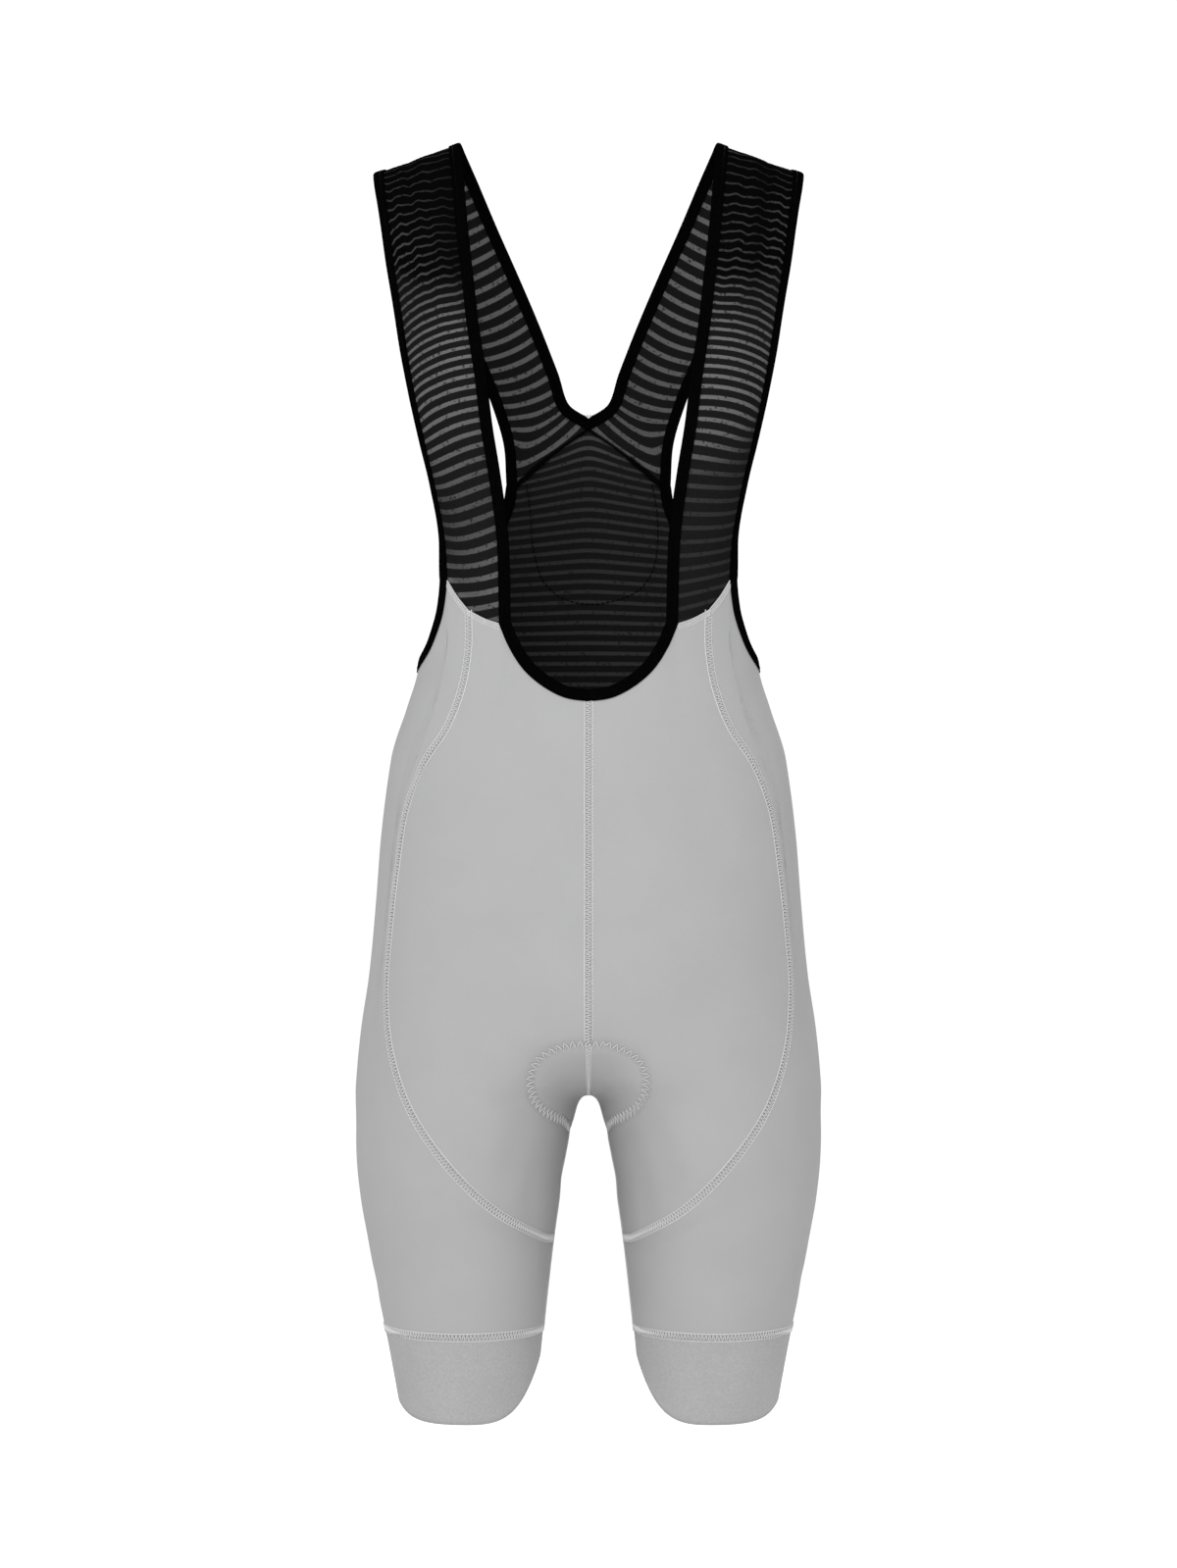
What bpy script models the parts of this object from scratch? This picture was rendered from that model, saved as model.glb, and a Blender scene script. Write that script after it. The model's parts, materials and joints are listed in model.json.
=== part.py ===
"""Cycling bib shorts in their worn shape, hollow, with nobody inside.

Frame: metres, +Z up, the front faces -Y, +X is the wearer's left. The origin lies between
the two straps at the height of the shoulders that carry them.

One smooth body form (two thigh tubes that run into one trunk) carries every grey panel and
the mesh on the back. Each seam is a curve on that form, each panel is a wall between its
seams, and the two straps are bowed strips that leave the form at the bib seam, cross the
shoulders and meet it again at the V on the back.
"""
import bmesh
import bpy
import numpy as np

MM = 0.001

# Cloth and trim
WALL = 1.2 * MM
SEAM_GAP = 0.3 * MM
BINDING_WIDTH = 8.0 * MM
BINDING_THICKNESS = 2.6 * MM
STRAP_CROWN = 5.0 * MM
PAD_CLEARANCE = 3.0 * MM
PAD_MIDDLE_THICKNESS = 8.0 * MM
PAD_EDGE_THICKNESS = 2.5 * MM

# Heights that several pieces share
SCOOP_BOTTOM_Z = -410 * MM
WAIST_SEAM_Z = -440 * MM
LEG_SEAM_MEETING_Z = -803 * MM
CUFF_SEAM_Z = -868 * MM
PROFILE_PIVOT_Z = -620 * MM

# Hem of the cuff: its lowest height at the front, and how far it rises on each side
HEM_Z = -932 * MM
HEM_RISE_OUTER = 12 * MM
HEM_RISE_INNER = 44 * MM

# Upright axis inside each half, from which the side panels and cuffs are laid out
AXIS_X = 88 * MM
AXIS_Y = 5 * MM

# Cells across and along the panels
CELLS_SCOOP = 5
CELLS_BIB_FRONT = 3
CELLS_BIB_SIDE = 2
CELLS_ARMHOLE = 14
CELLS_PANEL_ACROSS = CELLS_SCOOP + CELLS_BIB_FRONT
CELLS_STRAP_ACROSS = CELLS_BIB_FRONT + CELLS_BIB_SIDE
CELLS_SIDE_ACROSS = CELLS_BIB_SIDE + CELLS_ARMHOLE
CELLS_SEAM = 18
CELLS_INSEAM = 3
CELLS_CUFF = 2
CELLS_STRAP_ALONG = 26
CELLS_MESH_ALONG = 8
CELLS_PAD_ALONG = 14
CELLS_PAD_ACROSS = 5

ARCH_CROWDING = 1.6
ROWS_EVENED = 4

# How curves and surfaces are worked out: points on a drawn curve and on a short run of one,
# rounds of settling and of halving, steps of a walk over the form, and the distance from
# the axis at which every search starts outside the form
CURVE_POINTS = 240
SHORT_CURVE_POINTS = 40
LONG_RUN_POINTS = 160
SETTLING_ROUNDS = 25
HALVING_ROUNDS = 45
WALKING_STEPS = 8
OUTSIDE_REACH = 300 * MM

# Heights just below and well above the crotch, and one at its level
BELOW_CROTCH_Z = -760 * MM
ABOVE_CROTCH_Z = -640 * MM
CROTCH_LEVEL_Z = -698 * MM

# The body form in millimetres, a row for each height: the outer side, the inner side of
# the thigh (its mirror image where both halves are one trunk), front, back, how widely
# the two halves are blended, and the power of the oval (2 is an ellipse).
FORM_COLUMNS = ("z", "outer", "inner", "front", "back", "blend", "power")
FORM_SECTIONS = [
    (-150, 132, -132, -98, 101, 1, 2.4),
    (-200, 129, -129, -97, 99, 1, 2.4),
    (-260, 125, -125, -94, 95, 1, 2.4),
    (-330, 121, -121, -88, 90, 1, 2.4),
    (-384, 124, -124, -86, 87, 1, 2.4),
    (-416, 133, -133, -87, 89, 1, 2.35),
    (-452, 144, -144, -89, 95, 2, 2.3),
    (-506, 151, -148, -93, 105, 8, 2.2),
    (-560, 156, -136, -97, 115, 24, 2.15),
    (-610, 161, -102, -99, 121, 48, 2.1),
    (-650, 167, -52, -97, 122, 58, 2.05),
    (-680, 170, -14, -94, 118, 40, 2.0),
    (-698, 171, 6, -92, 113, 24, 2.0),
    (-716, 171, 12, -90, 107, 16, 2.0),
    (-744, 170, 18, -86, 99, 10, 2.0),
    (-773, 167, 22, -80, 91, 6, 2.0),
    (-801, 162, 26, -75, 84, 4, 2.0),
    (-844, 154, 31, -68, 75, 3, 2.0),
    (-873, 148, 34, -63, 70, 3, 2.0),
    (-905, 142, 37, -59, 66, 3, 2.0),
    (-945, 135, 40, -55, 62, 3, 2.0),
]

# Seams and cloth edges on the form, in millimetres. Each row is a distance from the centre
# plane and a height; the front or back of the form gives the depth.
SCOOP_EDGE = [(0, -410), (16, -407.5), (31, -400), (45, -388), (56, -371), (62.5, -355.5)]
BIB_SEAM_FRONT = [(62.5, -355.5), (74, -351.5), (86, -345)]
BIB_SEAM_SIDE = [(86, -345), (95, -334.5), (105, -321)]
FRONT_SEAM = [
    (86, -345), (86, -372), (90, -398), (102, -430), (119, -455), (131, -487), (138, -530),
    (143, -575), (146, -618), (143, -657), (130, -698), (101, -742), (62, -780), (42, -793),
    (31, -800.5),
]
BACK_SEAM = [
    (110, -356), (116, -385), (128, -440), (140, -500), (147, -560), (152, -610),
    (154, -650), (147, -692), (126, -730), (95, -762), (64, -783), (43, -794), (31, -800.5),
]
ARMHOLE_FRONT = [(105, -321), (106, -333), (108, -346), (111.5, -359), (116, -370)]
ARMHOLE_BACK = [(116, -372), (110, -356)]
ARMHOLE_BOTTOM = (124, 8, -387)
MESH_SIDE_EDGE = [(55, -244.5), (57.5, -260), (66, -281), (80, -304), (96, -329), (110, -356)]
V_SEAM = [(0, -201), (28, -221), (55, -244.5)]
WAIST_SEAM = [(0, -440), (45, -433), (80, -411), (100, -382), (110, -356)]

# Finished edges of a strap in millimetres, bindings included, from the bib seam over the
# shoulder to the V on the back. Columns: a point of the inner edge, one of the outer edge.
STRAP_SECTIONS = [
    ((59, -85, -288), (111, -50, -296)),
    ((62, -89, -247), (116, -54, -259)),
    ((68, -93, -212), (123, -60, -229)),
    ((74, -96, -177), (130, -65, -197)),
    ((79, -97, -143), (136, -68, -164)),
    ((83, -94, -107), (141, -67, -131)),
    ((87, -82, -71), (147, -60, -95)),
    ((90, -60, -38), (152, -46, -60)),
    ((93, -32, -12), (156, -26, -35)),
    ((94, 0, 0), (157, 4, -22)),
    ((91, 32, -4), (150, 30, -26)),
    ((83, 58, -20), (138, 54, -42)),
    ((70, 79, -49), (122, 74, -72)),
    ((54, 90, -84), (107, 86, -108)),
    ((38, 96, -121), (92, 91, -144)),
    ((22, 99, -158), (77, 92, -181)),
    ((10, 99, -184), (66, 90, -215)),
]

# Crotch pad, a row for each station along the centre line. Columns: the angle round the
# profile pivot (0 forward, 90 down, 180 back), the half width over the cloth in millimetres.
PAD_STATIONS = [
    (27, 16), (31, 29), (37, 39), (46, 44), (60, 44), (78, 41), (96, 42), (112, 50),
    (126, 62), (138, 70), (150, 72), (161, 66), (170, 52), (176, 30),
]

MATERIALS = {
    "grey_knit": ((0.42, 0.42, 0.42, 1.0), 0.85),
    "cuff_knit": ((0.40, 0.40, 0.40, 1.0), 0.9),
    "striped_mesh": ((0.03, 0.03, 0.03, 1.0), 0.7),
    "black_binding": ((0.006, 0.006, 0.006, 1.0), 0.75),
    "pad_foam": ((0.30, 0.30, 0.30, 1.0), 0.9),
}


def unit(vectors):
    return vectors / np.maximum(np.linalg.norm(vectors, axis=-1, keepdims=True), 1e-12)


def hermite(knots, values, at):
    """A smooth curve through values at the knots that never swings past them."""
    knots = np.asarray(knots, float)
    values = np.asarray(values, float)
    step = np.diff(knots)
    slope = np.diff(values) / step
    tangent = np.zeros_like(values)
    tangent[0] = slope[0]
    tangent[-1] = slope[-1]
    before, after = slope[:-1], slope[1:]
    same_way = before * after > 0
    total = np.where(same_way, before + after, 1.0)
    tangent[1:-1] = np.where(same_way, 2.0 * before * after / total, 0.0)
    at = np.clip(at, knots[0], knots[-1])
    index = np.clip(np.searchsorted(knots, at, side="right") - 1, 0, len(step) - 1)
    width = step[index]
    t = (at - knots[index]) / width
    rise = values[index + 1] - values[index]
    low, high = tangent[index] * width, tangent[index + 1] * width
    return values[index] + t * (low + t * (3 * rise - 2 * low - high + t * (low + high - 2 * rise)))


def form_at(height):
    """Each column of the form's sections at the given heights, in metres."""
    table = np.array(FORM_SECTIONS[::-1], float)
    heights = table[:, 0] * MM
    found = {}
    for index, column in enumerate(FORM_COLUMNS[1:], start=1):
        scale = 1.0 if column == "power" else MM
        found[column] = hermite(heights, table[:, index] * scale, height)
    return found


def form_distance(points):
    """How far each point is outside the body form, roughly; negative inside."""
    x, y, height = points[..., 0], points[..., 1], points[..., 2]
    form = form_at(height)
    centre_x = (form["outer"] + form["inner"]) / 2
    radius_x = (form["outer"] - form["inner"]) / 2
    centre_y = (form["front"] + form["back"]) / 2
    radius_y = (form["back"] - form["front"]) / 2
    power = form["power"]
    depth = np.abs((y - centre_y) / radius_y) ** power
    halves = []
    for side in (-1, 1):
        across = np.abs((x - side * centre_x) / radius_x) ** power
        halves.append(((across + depth) ** (1 / power) - 1) * radius_x)
    lap = np.maximum(form["blend"] - np.abs(halves[0] - halves[1]), 0)
    return np.minimum(*halves) - lap ** 2 / (4 * form["blend"])


def form_slope(points):
    """The direction and rate in which the distance from the form grows."""
    reach = 0.05 * MM
    parts = []
    for axis in np.eye(3):
        change = form_distance(points + reach * axis) - form_distance(points - reach * axis)
        parts.append(change / (2 * reach))
    return np.stack(parts, axis=-1)


def form_normals(points):
    """The form's outward direction at each point."""
    return unit(form_slope(points))


def onto_form(points):
    """Each point moved square onto the form's surface."""
    for _ in range(SETTLING_ROUNDS):
        slope = form_slope(points)
        steep = np.maximum((slope ** 2).sum(axis=-1, keepdims=True), 0.05)
        points = points - form_distance(points)[..., None] * slope / steep
    return points


def form_between(outside, inside):
    """The surface point between each pair of an outside and an inside point."""
    for _ in range(HALVING_ROUNDS):
        middle = (outside + inside) / 2
        is_out = (form_distance(middle) > 0)[..., None]
        outside = np.where(is_out, middle, outside)
        inside = np.where(is_out, inside, middle)
    return (outside + inside) / 2


def form_face(x, height, side):
    """Points of the form's front (side -1) or back (side 1) at x and height, in metres."""
    form = form_at(height)
    middle = (form["front"] + form["back"]) / 2
    inside = np.stack([x, middle, height], axis=-1)
    outside = np.stack([x, np.full_like(x, OUTSIDE_REACH * side), height], axis=-1)
    return form_between(outside, inside)


def form_round(angle, height):
    """Points of one half at angles round its axis: 0 inward, 90 degrees to the front."""
    way = np.stack([-np.cos(angle), -np.sin(angle), np.zeros_like(angle)], axis=-1)
    axis = np.stack([np.full_like(height, AXIS_X), np.full_like(height, AXIS_Y), height], axis=-1)
    to_centre_plane = AXIS_X / np.maximum(np.cos(angle), 1e-6)
    inward = np.minimum(to_centre_plane, OUTSIDE_REACH)
    reach = np.where(np.cos(angle) > 0, inward, OUTSIDE_REACH)
    return form_between(axis + way * reach[..., None], axis)


def angle_round(points, start):
    """The angle of each point round its half's axis, counted up from start."""
    angle = np.arctan2(AXIS_Y - points[..., 1], AXIS_X - points[..., 0])
    return start + np.mod(angle - start, 2 * np.pi)


def lengths_along(points):
    steps = np.linalg.norm(np.diff(points, axis=0), axis=1)
    return np.concatenate([[0.0], np.cumsum(steps)])


def smooth_curve(points, samples=CURVE_POINTS):
    """A close-set smooth curve through the points."""
    points = np.asarray(points, float)
    knots = lengths_along(points)
    tangents = np.gradient(points, knots, axis=0)
    at = np.linspace(0, knots[-1], samples)
    index = np.clip(np.searchsorted(knots, at, side="right") - 1, 0, len(knots) - 2)
    width = (knots[index + 1] - knots[index])[:, None]
    t = (at - knots[index])[:, None] / width
    start, end = points[index], points[index + 1]
    low, high = tangents[index] * width, tangents[index + 1] * width
    rise = end - start
    return start + t * (low + t * (3 * rise - 2 * low - high + t * (low + high - 2 * rise)))


def divided(points, cells, crowding=1.0):
    """The curve cut into cells of equal length, or shorter ones at its start."""
    along = lengths_along(points)
    at = along[-1] * np.linspace(0, 1, cells + 1) ** crowding
    return np.stack([np.interp(at, along, points[:, axis]) for axis in range(3)], axis=-1)


def joined(*curves):
    """Curves end to end, each shared end point once."""
    return np.concatenate([curves[0]] + [curve[1:] for curve in curves[1:]])


def drawn_seam(rows, side, last=None):
    """A seam drawn on the form's front or back, running on to the point last if given."""
    flat = np.array([(x * MM, 0.0, height * MM) for x, height in rows])
    curve = smooth_curve(flat)
    on_form = form_face(curve[:, 0], curve[:, 2], side)
    if last is None:
        return on_form
    return joined(on_form, onto_form(smooth_curve([on_form[-1], last], SHORT_CURVE_POINTS)))


def crotch_point():
    """The lowest point of the form between the two thighs."""
    form = form_at(np.array(CROTCH_LEVEL_Z))
    middle = (form["front"] + form["back"]) / 2
    outside = np.array([0.0, middle, BELOW_CROTCH_Z])
    inside = np.array([0.0, middle, ABOVE_CROTCH_Z])
    return form_between(outside, inside)


def profile_points(degrees):
    """Points of the form in the centre plane at angles round the profile pivot."""
    turn = np.radians(degrees)
    middle = crotch_point()[1]
    pivot = np.array([0.0, middle, PROFILE_PIVOT_Z])
    way = np.stack([np.zeros_like(turn), -np.cos(turn), -np.sin(turn)], axis=-1)
    return form_between(pivot + OUTSIDE_REACH * way, np.broadcast_to(pivot, way.shape))


def centre_seam(top, side):
    """The seam in the centre plane from the height top to the crotch, front or back."""
    heights = np.linspace(top, PROFILE_PIVOT_Z, LONG_RUN_POINTS // 2)
    upper = form_face(np.zeros_like(heights), heights, side)
    first = 0.0 if side < 0 else 180.0
    lower = profile_points(np.linspace(first, 90.0, LONG_RUN_POINTS))
    return joined(upper, lower[1:], crotch_point()[None])[:-1]


def inseam(low):
    """The inner side of the thigh from the crotch down to the height low."""
    start = crotch_point()
    drop = np.linspace(0, 1, LONG_RUN_POINTS)[1:] ** 2
    heights = start[2] + (low - start[2]) * drop
    form = form_at(heights)
    middle = (form["front"] + form["back"]) / 2
    centre = (form["outer"] + form["inner"]) / 2
    outside = np.stack([np.zeros_like(heights), middle, heights], axis=-1)
    inside = np.stack([centre, middle, heights], axis=-1)
    return np.concatenate([start[None], form_between(outside, inside)])


def coons(top, bottom, left, right):
    """A grid that fills four edges; top and bottom run across, left and right run down."""
    across = np.linspace(0, 1, len(top))[None, :, None]
    down = np.linspace(0, 1, len(left))[:, None, None]
    between_rows = (1 - down) * top[None] + down * bottom[None]
    between_columns = (1 - across) * left[:, None] + across * right[:, None]
    corners = (
        (1 - down) * ((1 - across) * top[0] + across * top[-1])
        + down * ((1 - across) * bottom[0] + across * bottom[-1])
    )
    return between_rows + between_columns - corners


def grid_normals(grid):
    """Outward normals of a strip whose columns run to the left of its rows."""
    down = np.gradient(grid, axis=0)
    across = np.gradient(grid, axis=1)
    return unit(np.cross(down, across))


def border_of(rows, columns):
    """Row and column numbers round a grid's border, once each."""
    ring = [(0, column) for column in range(columns - 1)]
    ring += [(row, columns - 1) for row in range(rows - 1)]
    ring += [(rows - 1, column) for column in range(columns - 1, 0, -1)]
    ring += [(row, 0) for row in range(rows - 1, 0, -1)]
    return tuple(np.array(ring).T)


def edge_shift(ring, normals):
    """A unit offset at each point, square to the ring's segments, mitred at corners."""
    following = np.roll(ring, -1, axis=0) - ring
    facing = unit(normals + np.roll(normals, -1, axis=0))
    sideways = unit(np.cross(facing, following))
    before = np.roll(sideways, 1, axis=0)
    bend = np.maximum(1 + (before * sideways).sum(axis=1, keepdims=True), 0.25)
    return (before + sideways) / bend


def inset(grid, normals):
    """The grid with its border half a seam gap inside its seams."""
    ring = border_of(*grid.shape[:2])
    shift = edge_shift(grid[ring], normals[ring])
    middle = grid[1:-1, 1:-1].reshape(-1, 3).mean(axis=0)
    if ((middle - grid[ring]) * shift).sum() < 0:
        shift = -shift
    moved = grid.copy()
    moved[ring] += shift * SEAM_GAP / 2
    return moved


def mirrored(points):
    """Points or directions of one half turned into those of the other."""
    return points * np.array([-1.0, 1.0, 1.0])


def add_object(name, vertices, faces, material):
    """One closed solid with its faces turned outwards."""
    mesh = bpy.data.meshes.new(name)
    mesh.from_pydata([tuple(vertex) for vertex in vertices], [], faces)
    solid = bmesh.new()
    solid.from_mesh(mesh)
    bmesh.ops.recalc_face_normals(solid, faces=solid.faces)
    solid.to_mesh(mesh)
    solid.free()
    mesh.materials.append(material)
    mesh.shade_smooth()
    mesh.set_sharp_from_angle(angle=np.radians(50))
    mesh.update()
    bpy.context.scene.collection.objects.link(bpy.data.objects.new(name, mesh))


def add_wall(name, front, back, material):
    """A closed wall between two grids, each cell split along its shorter diagonal."""
    rows, columns = front.shape[:2]
    count = rows * columns
    number = np.arange(count).reshape(rows, columns)
    flat = front.reshape(-1, 3)
    faces = []
    for row in range(rows - 1):
        for column in range(columns - 1):
            a, b = number[row, column], number[row + 1, column]
            c, d = number[row + 1, column + 1], number[row, column + 1]
            if np.linalg.norm(flat[a] - flat[c]) > np.linalg.norm(flat[b] - flat[d]):
                a, b, c, d = b, c, d, a
            faces += [(a, b, c), (a, c, d)]
            faces += [(a + count, c + count, b + count), (a + count, d + count, c + count)]
    ring = number[border_of(rows, columns)]
    for here, there in zip(ring, np.roll(ring, -1)):
        faces += [(here, there, there + count), (here, there + count, here + count)]
    faces = [tuple(int(corner) for corner in face) for face in faces]
    vertices = np.concatenate([flat, back.reshape(-1, 3)])
    add_object(name, vertices, faces, material)


def add_panel(name, grid, normals, material):
    """A cloth panel of the wall's thickness, its border set back from the seams."""
    grid = inset(grid, normals)
    add_wall(name, grid + normals * WALL / 2, grid - normals * WALL / 2, material)


def add_both(name, grid, normals, material):
    """A panel and its mirror image for the wearer's left (+X) and right."""
    add_panel(name + "_left", grid, normals, material)
    add_panel(name + "_right", mirrored(grid), mirrored(normals), material)


def add_ring(name, sections, material):
    """A closed band whose cross-sections run round a loop."""
    count, corners = sections.shape[:2]
    faces = []
    for station in range(count):
        after = (station + 1) % count
        for corner in range(corners):
            turn = (corner + 1) % corners
            a, b = station * corners + corner, station * corners + turn
            c, d = after * corners + turn, after * corners + corner
            faces += [(a, b, c), (a, c, d)]
    add_object(name, sections.reshape(-1, 3), faces, material)


def binding_sections(edge, normals):
    """Cross-sections of a folded binding beyond a closed cloth edge."""
    away = edge_shift(edge, normals)
    near = edge + away * SEAM_GAP / 2
    far = near + unit(away) * BINDING_WIDTH
    half = normals * BINDING_THICKNESS / 2
    return np.stack([near + half, near - half, far - half, far + half], axis=1)


def make_material(name):
    colour, roughness = MATERIALS[name]
    material = bpy.data.materials.new(name)
    material.use_nodes = True
    shader = material.node_tree.nodes["Principled BSDF"]
    shader.inputs["Base Color"].default_value = colour
    shader.inputs["Roughness"].default_value = roughness
    shader.inputs["Metallic"].default_value = 0.0
    return material


def seam_curves():
    """Every seam and cloth edge of one half, cut into the cells of its panels."""
    whole_inseam = inseam(CUFF_SEAM_Z)
    split = int(np.argmin(np.abs(whole_inseam[:, 2] - LEG_SEAM_MEETING_Z)))
    meeting = whole_inseam[split]
    armhole_turn = onto_form(np.array([ARMHOLE_BOTTOM]) * MM)
    armhole = smooth_curve(np.concatenate([
        divided(drawn_seam(ARMHOLE_FRONT, -1), 4),
        armhole_turn,
        divided(drawn_seam(ARMHOLE_BACK, 1), 2),
    ]))
    return {
        "scoop": divided(drawn_seam(SCOOP_EDGE, -1), CELLS_SCOOP),
        "bib_front": divided(drawn_seam(BIB_SEAM_FRONT, -1), CELLS_BIB_FRONT),
        "bib_side": divided(drawn_seam(BIB_SEAM_SIDE, -1), CELLS_BIB_SIDE),
        "front_seam": divided(drawn_seam(FRONT_SEAM, -1, meeting), CELLS_SEAM),
        "back_seam": divided(drawn_seam(BACK_SEAM, 1, meeting), CELLS_SEAM),
        "armhole": divided(onto_form(armhole), CELLS_ARMHOLE),
        "centre_front": divided(centre_seam(SCOOP_BOTTOM_Z, -1), CELLS_SEAM),
        "centre_back": divided(centre_seam(WAIST_SEAM_Z, 1), CELLS_SEAM),
        "inseam_upper": divided(whole_inseam[:split + 1], CELLS_PANEL_ACROSS, ARCH_CROWDING),
        "inseam_lower": divided(whole_inseam[split:], CELLS_INSEAM),
        "waist_seam": divided(drawn_seam(WAIST_SEAM, 1), CELLS_PANEL_ACROSS),
        "mesh_side": divided(drawn_seam(MESH_SIDE_EDGE, 1), CELLS_MESH_ALONG),
        "v_seam": divided(drawn_seam(V_SEAM, 1), CELLS_STRAP_ACROSS),
        "v_seam_mesh": divided(drawn_seam(V_SEAM, 1), CELLS_PANEL_ACROSS),
    }


def form_panel(top, bottom, left, right):
    """A panel's grid and normals on the form, its edges kept where the seams are."""
    grid = coons(top, bottom, left, right)
    grid[1:-1, 1:-1] = onto_form(grid[1:-1, 1:-1])
    return grid, form_normals(grid)


def hang_evenly(layout):
    """Lower the middle of the rows where the two long seams close in, to space them evenly."""
    first = CELLS_SEAM - ROWS_EVENED
    middle = layout[:, CELLS_SIDE_ACROSS // 2, 1]
    even = np.linspace(middle[first], CUFF_SEAM_Z, len(middle) - first)
    share = np.linspace(0, 1, CELLS_SIDE_ACROSS + 1)
    sag = np.minimum(even - middle[first:], 0)
    layout[first:, :, 1] += sag[:, None] * 4 * share * (1 - share)


def side_panel(seams):
    """The panel round the side of the hip and all round the lower thigh."""
    top = joined(seams["bib_side"], seams["armhole"])
    left = joined(seams["front_seam"], seams["inseam_lower"])
    right = joined(seams["back_seam"], seams["inseam_lower"])
    left_angle = angle_round(left, -np.pi / 2)
    right_angle = angle_round(right, np.pi / 2)
    top_angle = angle_round(top, -np.pi / 2)
    bottom_angle = np.linspace(left_angle[-1], right_angle[-1], CELLS_SIDE_ACROSS + 1)
    bottom_height = np.full_like(bottom_angle, CUFF_SEAM_Z)
    layout = coons(
        np.stack([top_angle, top[:, 2]], axis=-1),
        np.stack([bottom_angle, bottom_height], axis=-1),
        np.stack([left_angle, left[:, 2]], axis=-1),
        np.stack([right_angle, right[:, 2]], axis=-1),
    )
    hang_evenly(layout)
    grid = form_round(layout[..., 0], layout[..., 1])
    grid[0] = top
    grid[:, 0] = left
    grid[:, -1] = right
    return grid, form_normals(grid)


def hem_height(angle):
    """The hem's height round the leg: lowest in front and behind, highest inside."""
    inner = np.maximum(np.cos(angle), 0) ** 3.2
    outer = np.maximum(-np.cos(angle), 0) ** 1.5
    return HEM_Z + HEM_RISE_INNER * inner + HEM_RISE_OUTER * outer


def cuff_rings():
    """Rings of one leg cuff from its seam down to the curved hem."""
    start = angle_round(inseam(CUFF_SEAM_Z)[-1:], -np.pi / 2)[0]
    angle = start + np.linspace(0, 2 * np.pi, CELLS_SIDE_ACROSS + 1)[:-1]
    top = np.full_like(angle, CUFF_SEAM_Z - SEAM_GAP)
    share = np.linspace(0, 1, CELLS_CUFF + 1)[:, None]
    heights = (1 - share) * top + share * hem_height(angle)
    return form_round(np.broadcast_to(angle, heights.shape), heights)


def add_cuff(name, rings, material):
    """A leg cuff: an open tube with a wall."""
    normals = form_normals(rings)
    outer = rings + normals * WALL / 2
    inner = rings - normals * WALL / 2
    outline = np.concatenate([outer, inner[::-1]])
    add_ring(name, np.swapaxes(outline, 0, 1), material)


def strap_grid(seams):
    """One strap: its rails run between the bib seam and the V seam, its rows are bowed."""
    edges = np.array(STRAP_SECTIONS, float) * MM
    inner, outer = edges[:, 0], edges[:, 1]
    inward = unit(outer - inner) * BINDING_WIDTH
    bib = joined(seams["bib_front"], seams["bib_side"])
    v_seam = seams["v_seam"]
    inner_rail = np.concatenate([bib[:1], inner + inward, v_seam[:1]])
    outer_rail = np.concatenate([bib[-1:], outer - inward, v_seam[-1:]])
    left = divided(smooth_curve(inner_rail), CELLS_STRAP_ALONG)
    right = divided(smooth_curve(outer_rail), CELLS_STRAP_ALONG)
    grid = coons(bib, v_seam, left, right)
    along = np.sin(np.pi * np.linspace(0, 1, len(left)))[:, None, None] ** 0.5
    across = np.sin(np.pi * np.linspace(0, 1, len(bib)))[None, :, None]
    grid = grid - grid_normals(grid) * STRAP_CROWN * along * across
    return grid, -grid_normals(grid)


def build_straps(strap, material):
    grid, normals = strap
    grid, normals = grid[::-1], normals[::-1]
    add_both("strap", grid, normals, material)


def centre_line(start, end):
    heights = np.linspace(start[2], end[2], CELLS_MESH_ALONG + 1)
    return form_face(np.zeros_like(heights), heights, 1)


def build_back_mesh(seams, material):
    grid, normals = form_panel(
        seams["v_seam_mesh"], seams["waist_seam"],
        centre_line(seams["v_seam_mesh"][0], seams["waist_seam"][0]), seams["mesh_side"],
    )
    grid, normals = grid[:, ::-1], normals[:, ::-1]
    whole = np.concatenate([grid, mirrored(grid[:, -2::-1])], axis=1)
    whole_normals = np.concatenate([normals, mirrored(normals[:, -2::-1])], axis=1)
    add_panel("back_mesh_panel", whole, whole_normals, material)


def neck_edge(seams, strap):
    """The cloth edge round the neck, one closed loop, and its normals."""
    grid, normals = strap
    scoop = seams["scoop"]
    half = joined(scoop, grid[:, 0])
    half_normals = joined(form_normals(scoop), normals[:, 0])
    edge = np.concatenate([half, mirrored(half[-2:0:-1])])
    return edge, np.concatenate([half_normals, mirrored(half_normals[-2:0:-1])])


def armhole_edge(seams, strap):
    """The cloth edge round one armhole, one closed loop, and its normals."""
    grid, normals = strap
    below = joined(seams["mesh_side"], seams["armhole"][::-1])
    edge = joined(grid[:, -1], below)[:-1]
    edge_normals = joined(normals[:, -1], form_normals(below))[:-1]
    return edge, edge_normals


def build_bindings(seams, strap, material):
    edge, normals = neck_edge(seams, strap)
    add_ring("neck_binding", binding_sections(edge, normals), material)
    edge, normals = armhole_edge(seams, strap)
    edge, normals = edge[::-1], normals[::-1]
    sections = binding_sections(edge, normals)
    add_ring("armhole_binding_left", sections, material)
    add_ring("armhole_binding_right", mirrored(sections), material)


def walk_on_form(start, way, distance):
    """Points reached by walking over the form for a distance, straight ahead."""
    points = start
    for _ in range(WALKING_STEPS):
        normals = form_normals(points)
        way = unit(way - (way * normals).sum(axis=-1, keepdims=True) * normals)
        points = onto_form(points + way * distance[..., None] / WALKING_STEPS)
    return points


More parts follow.
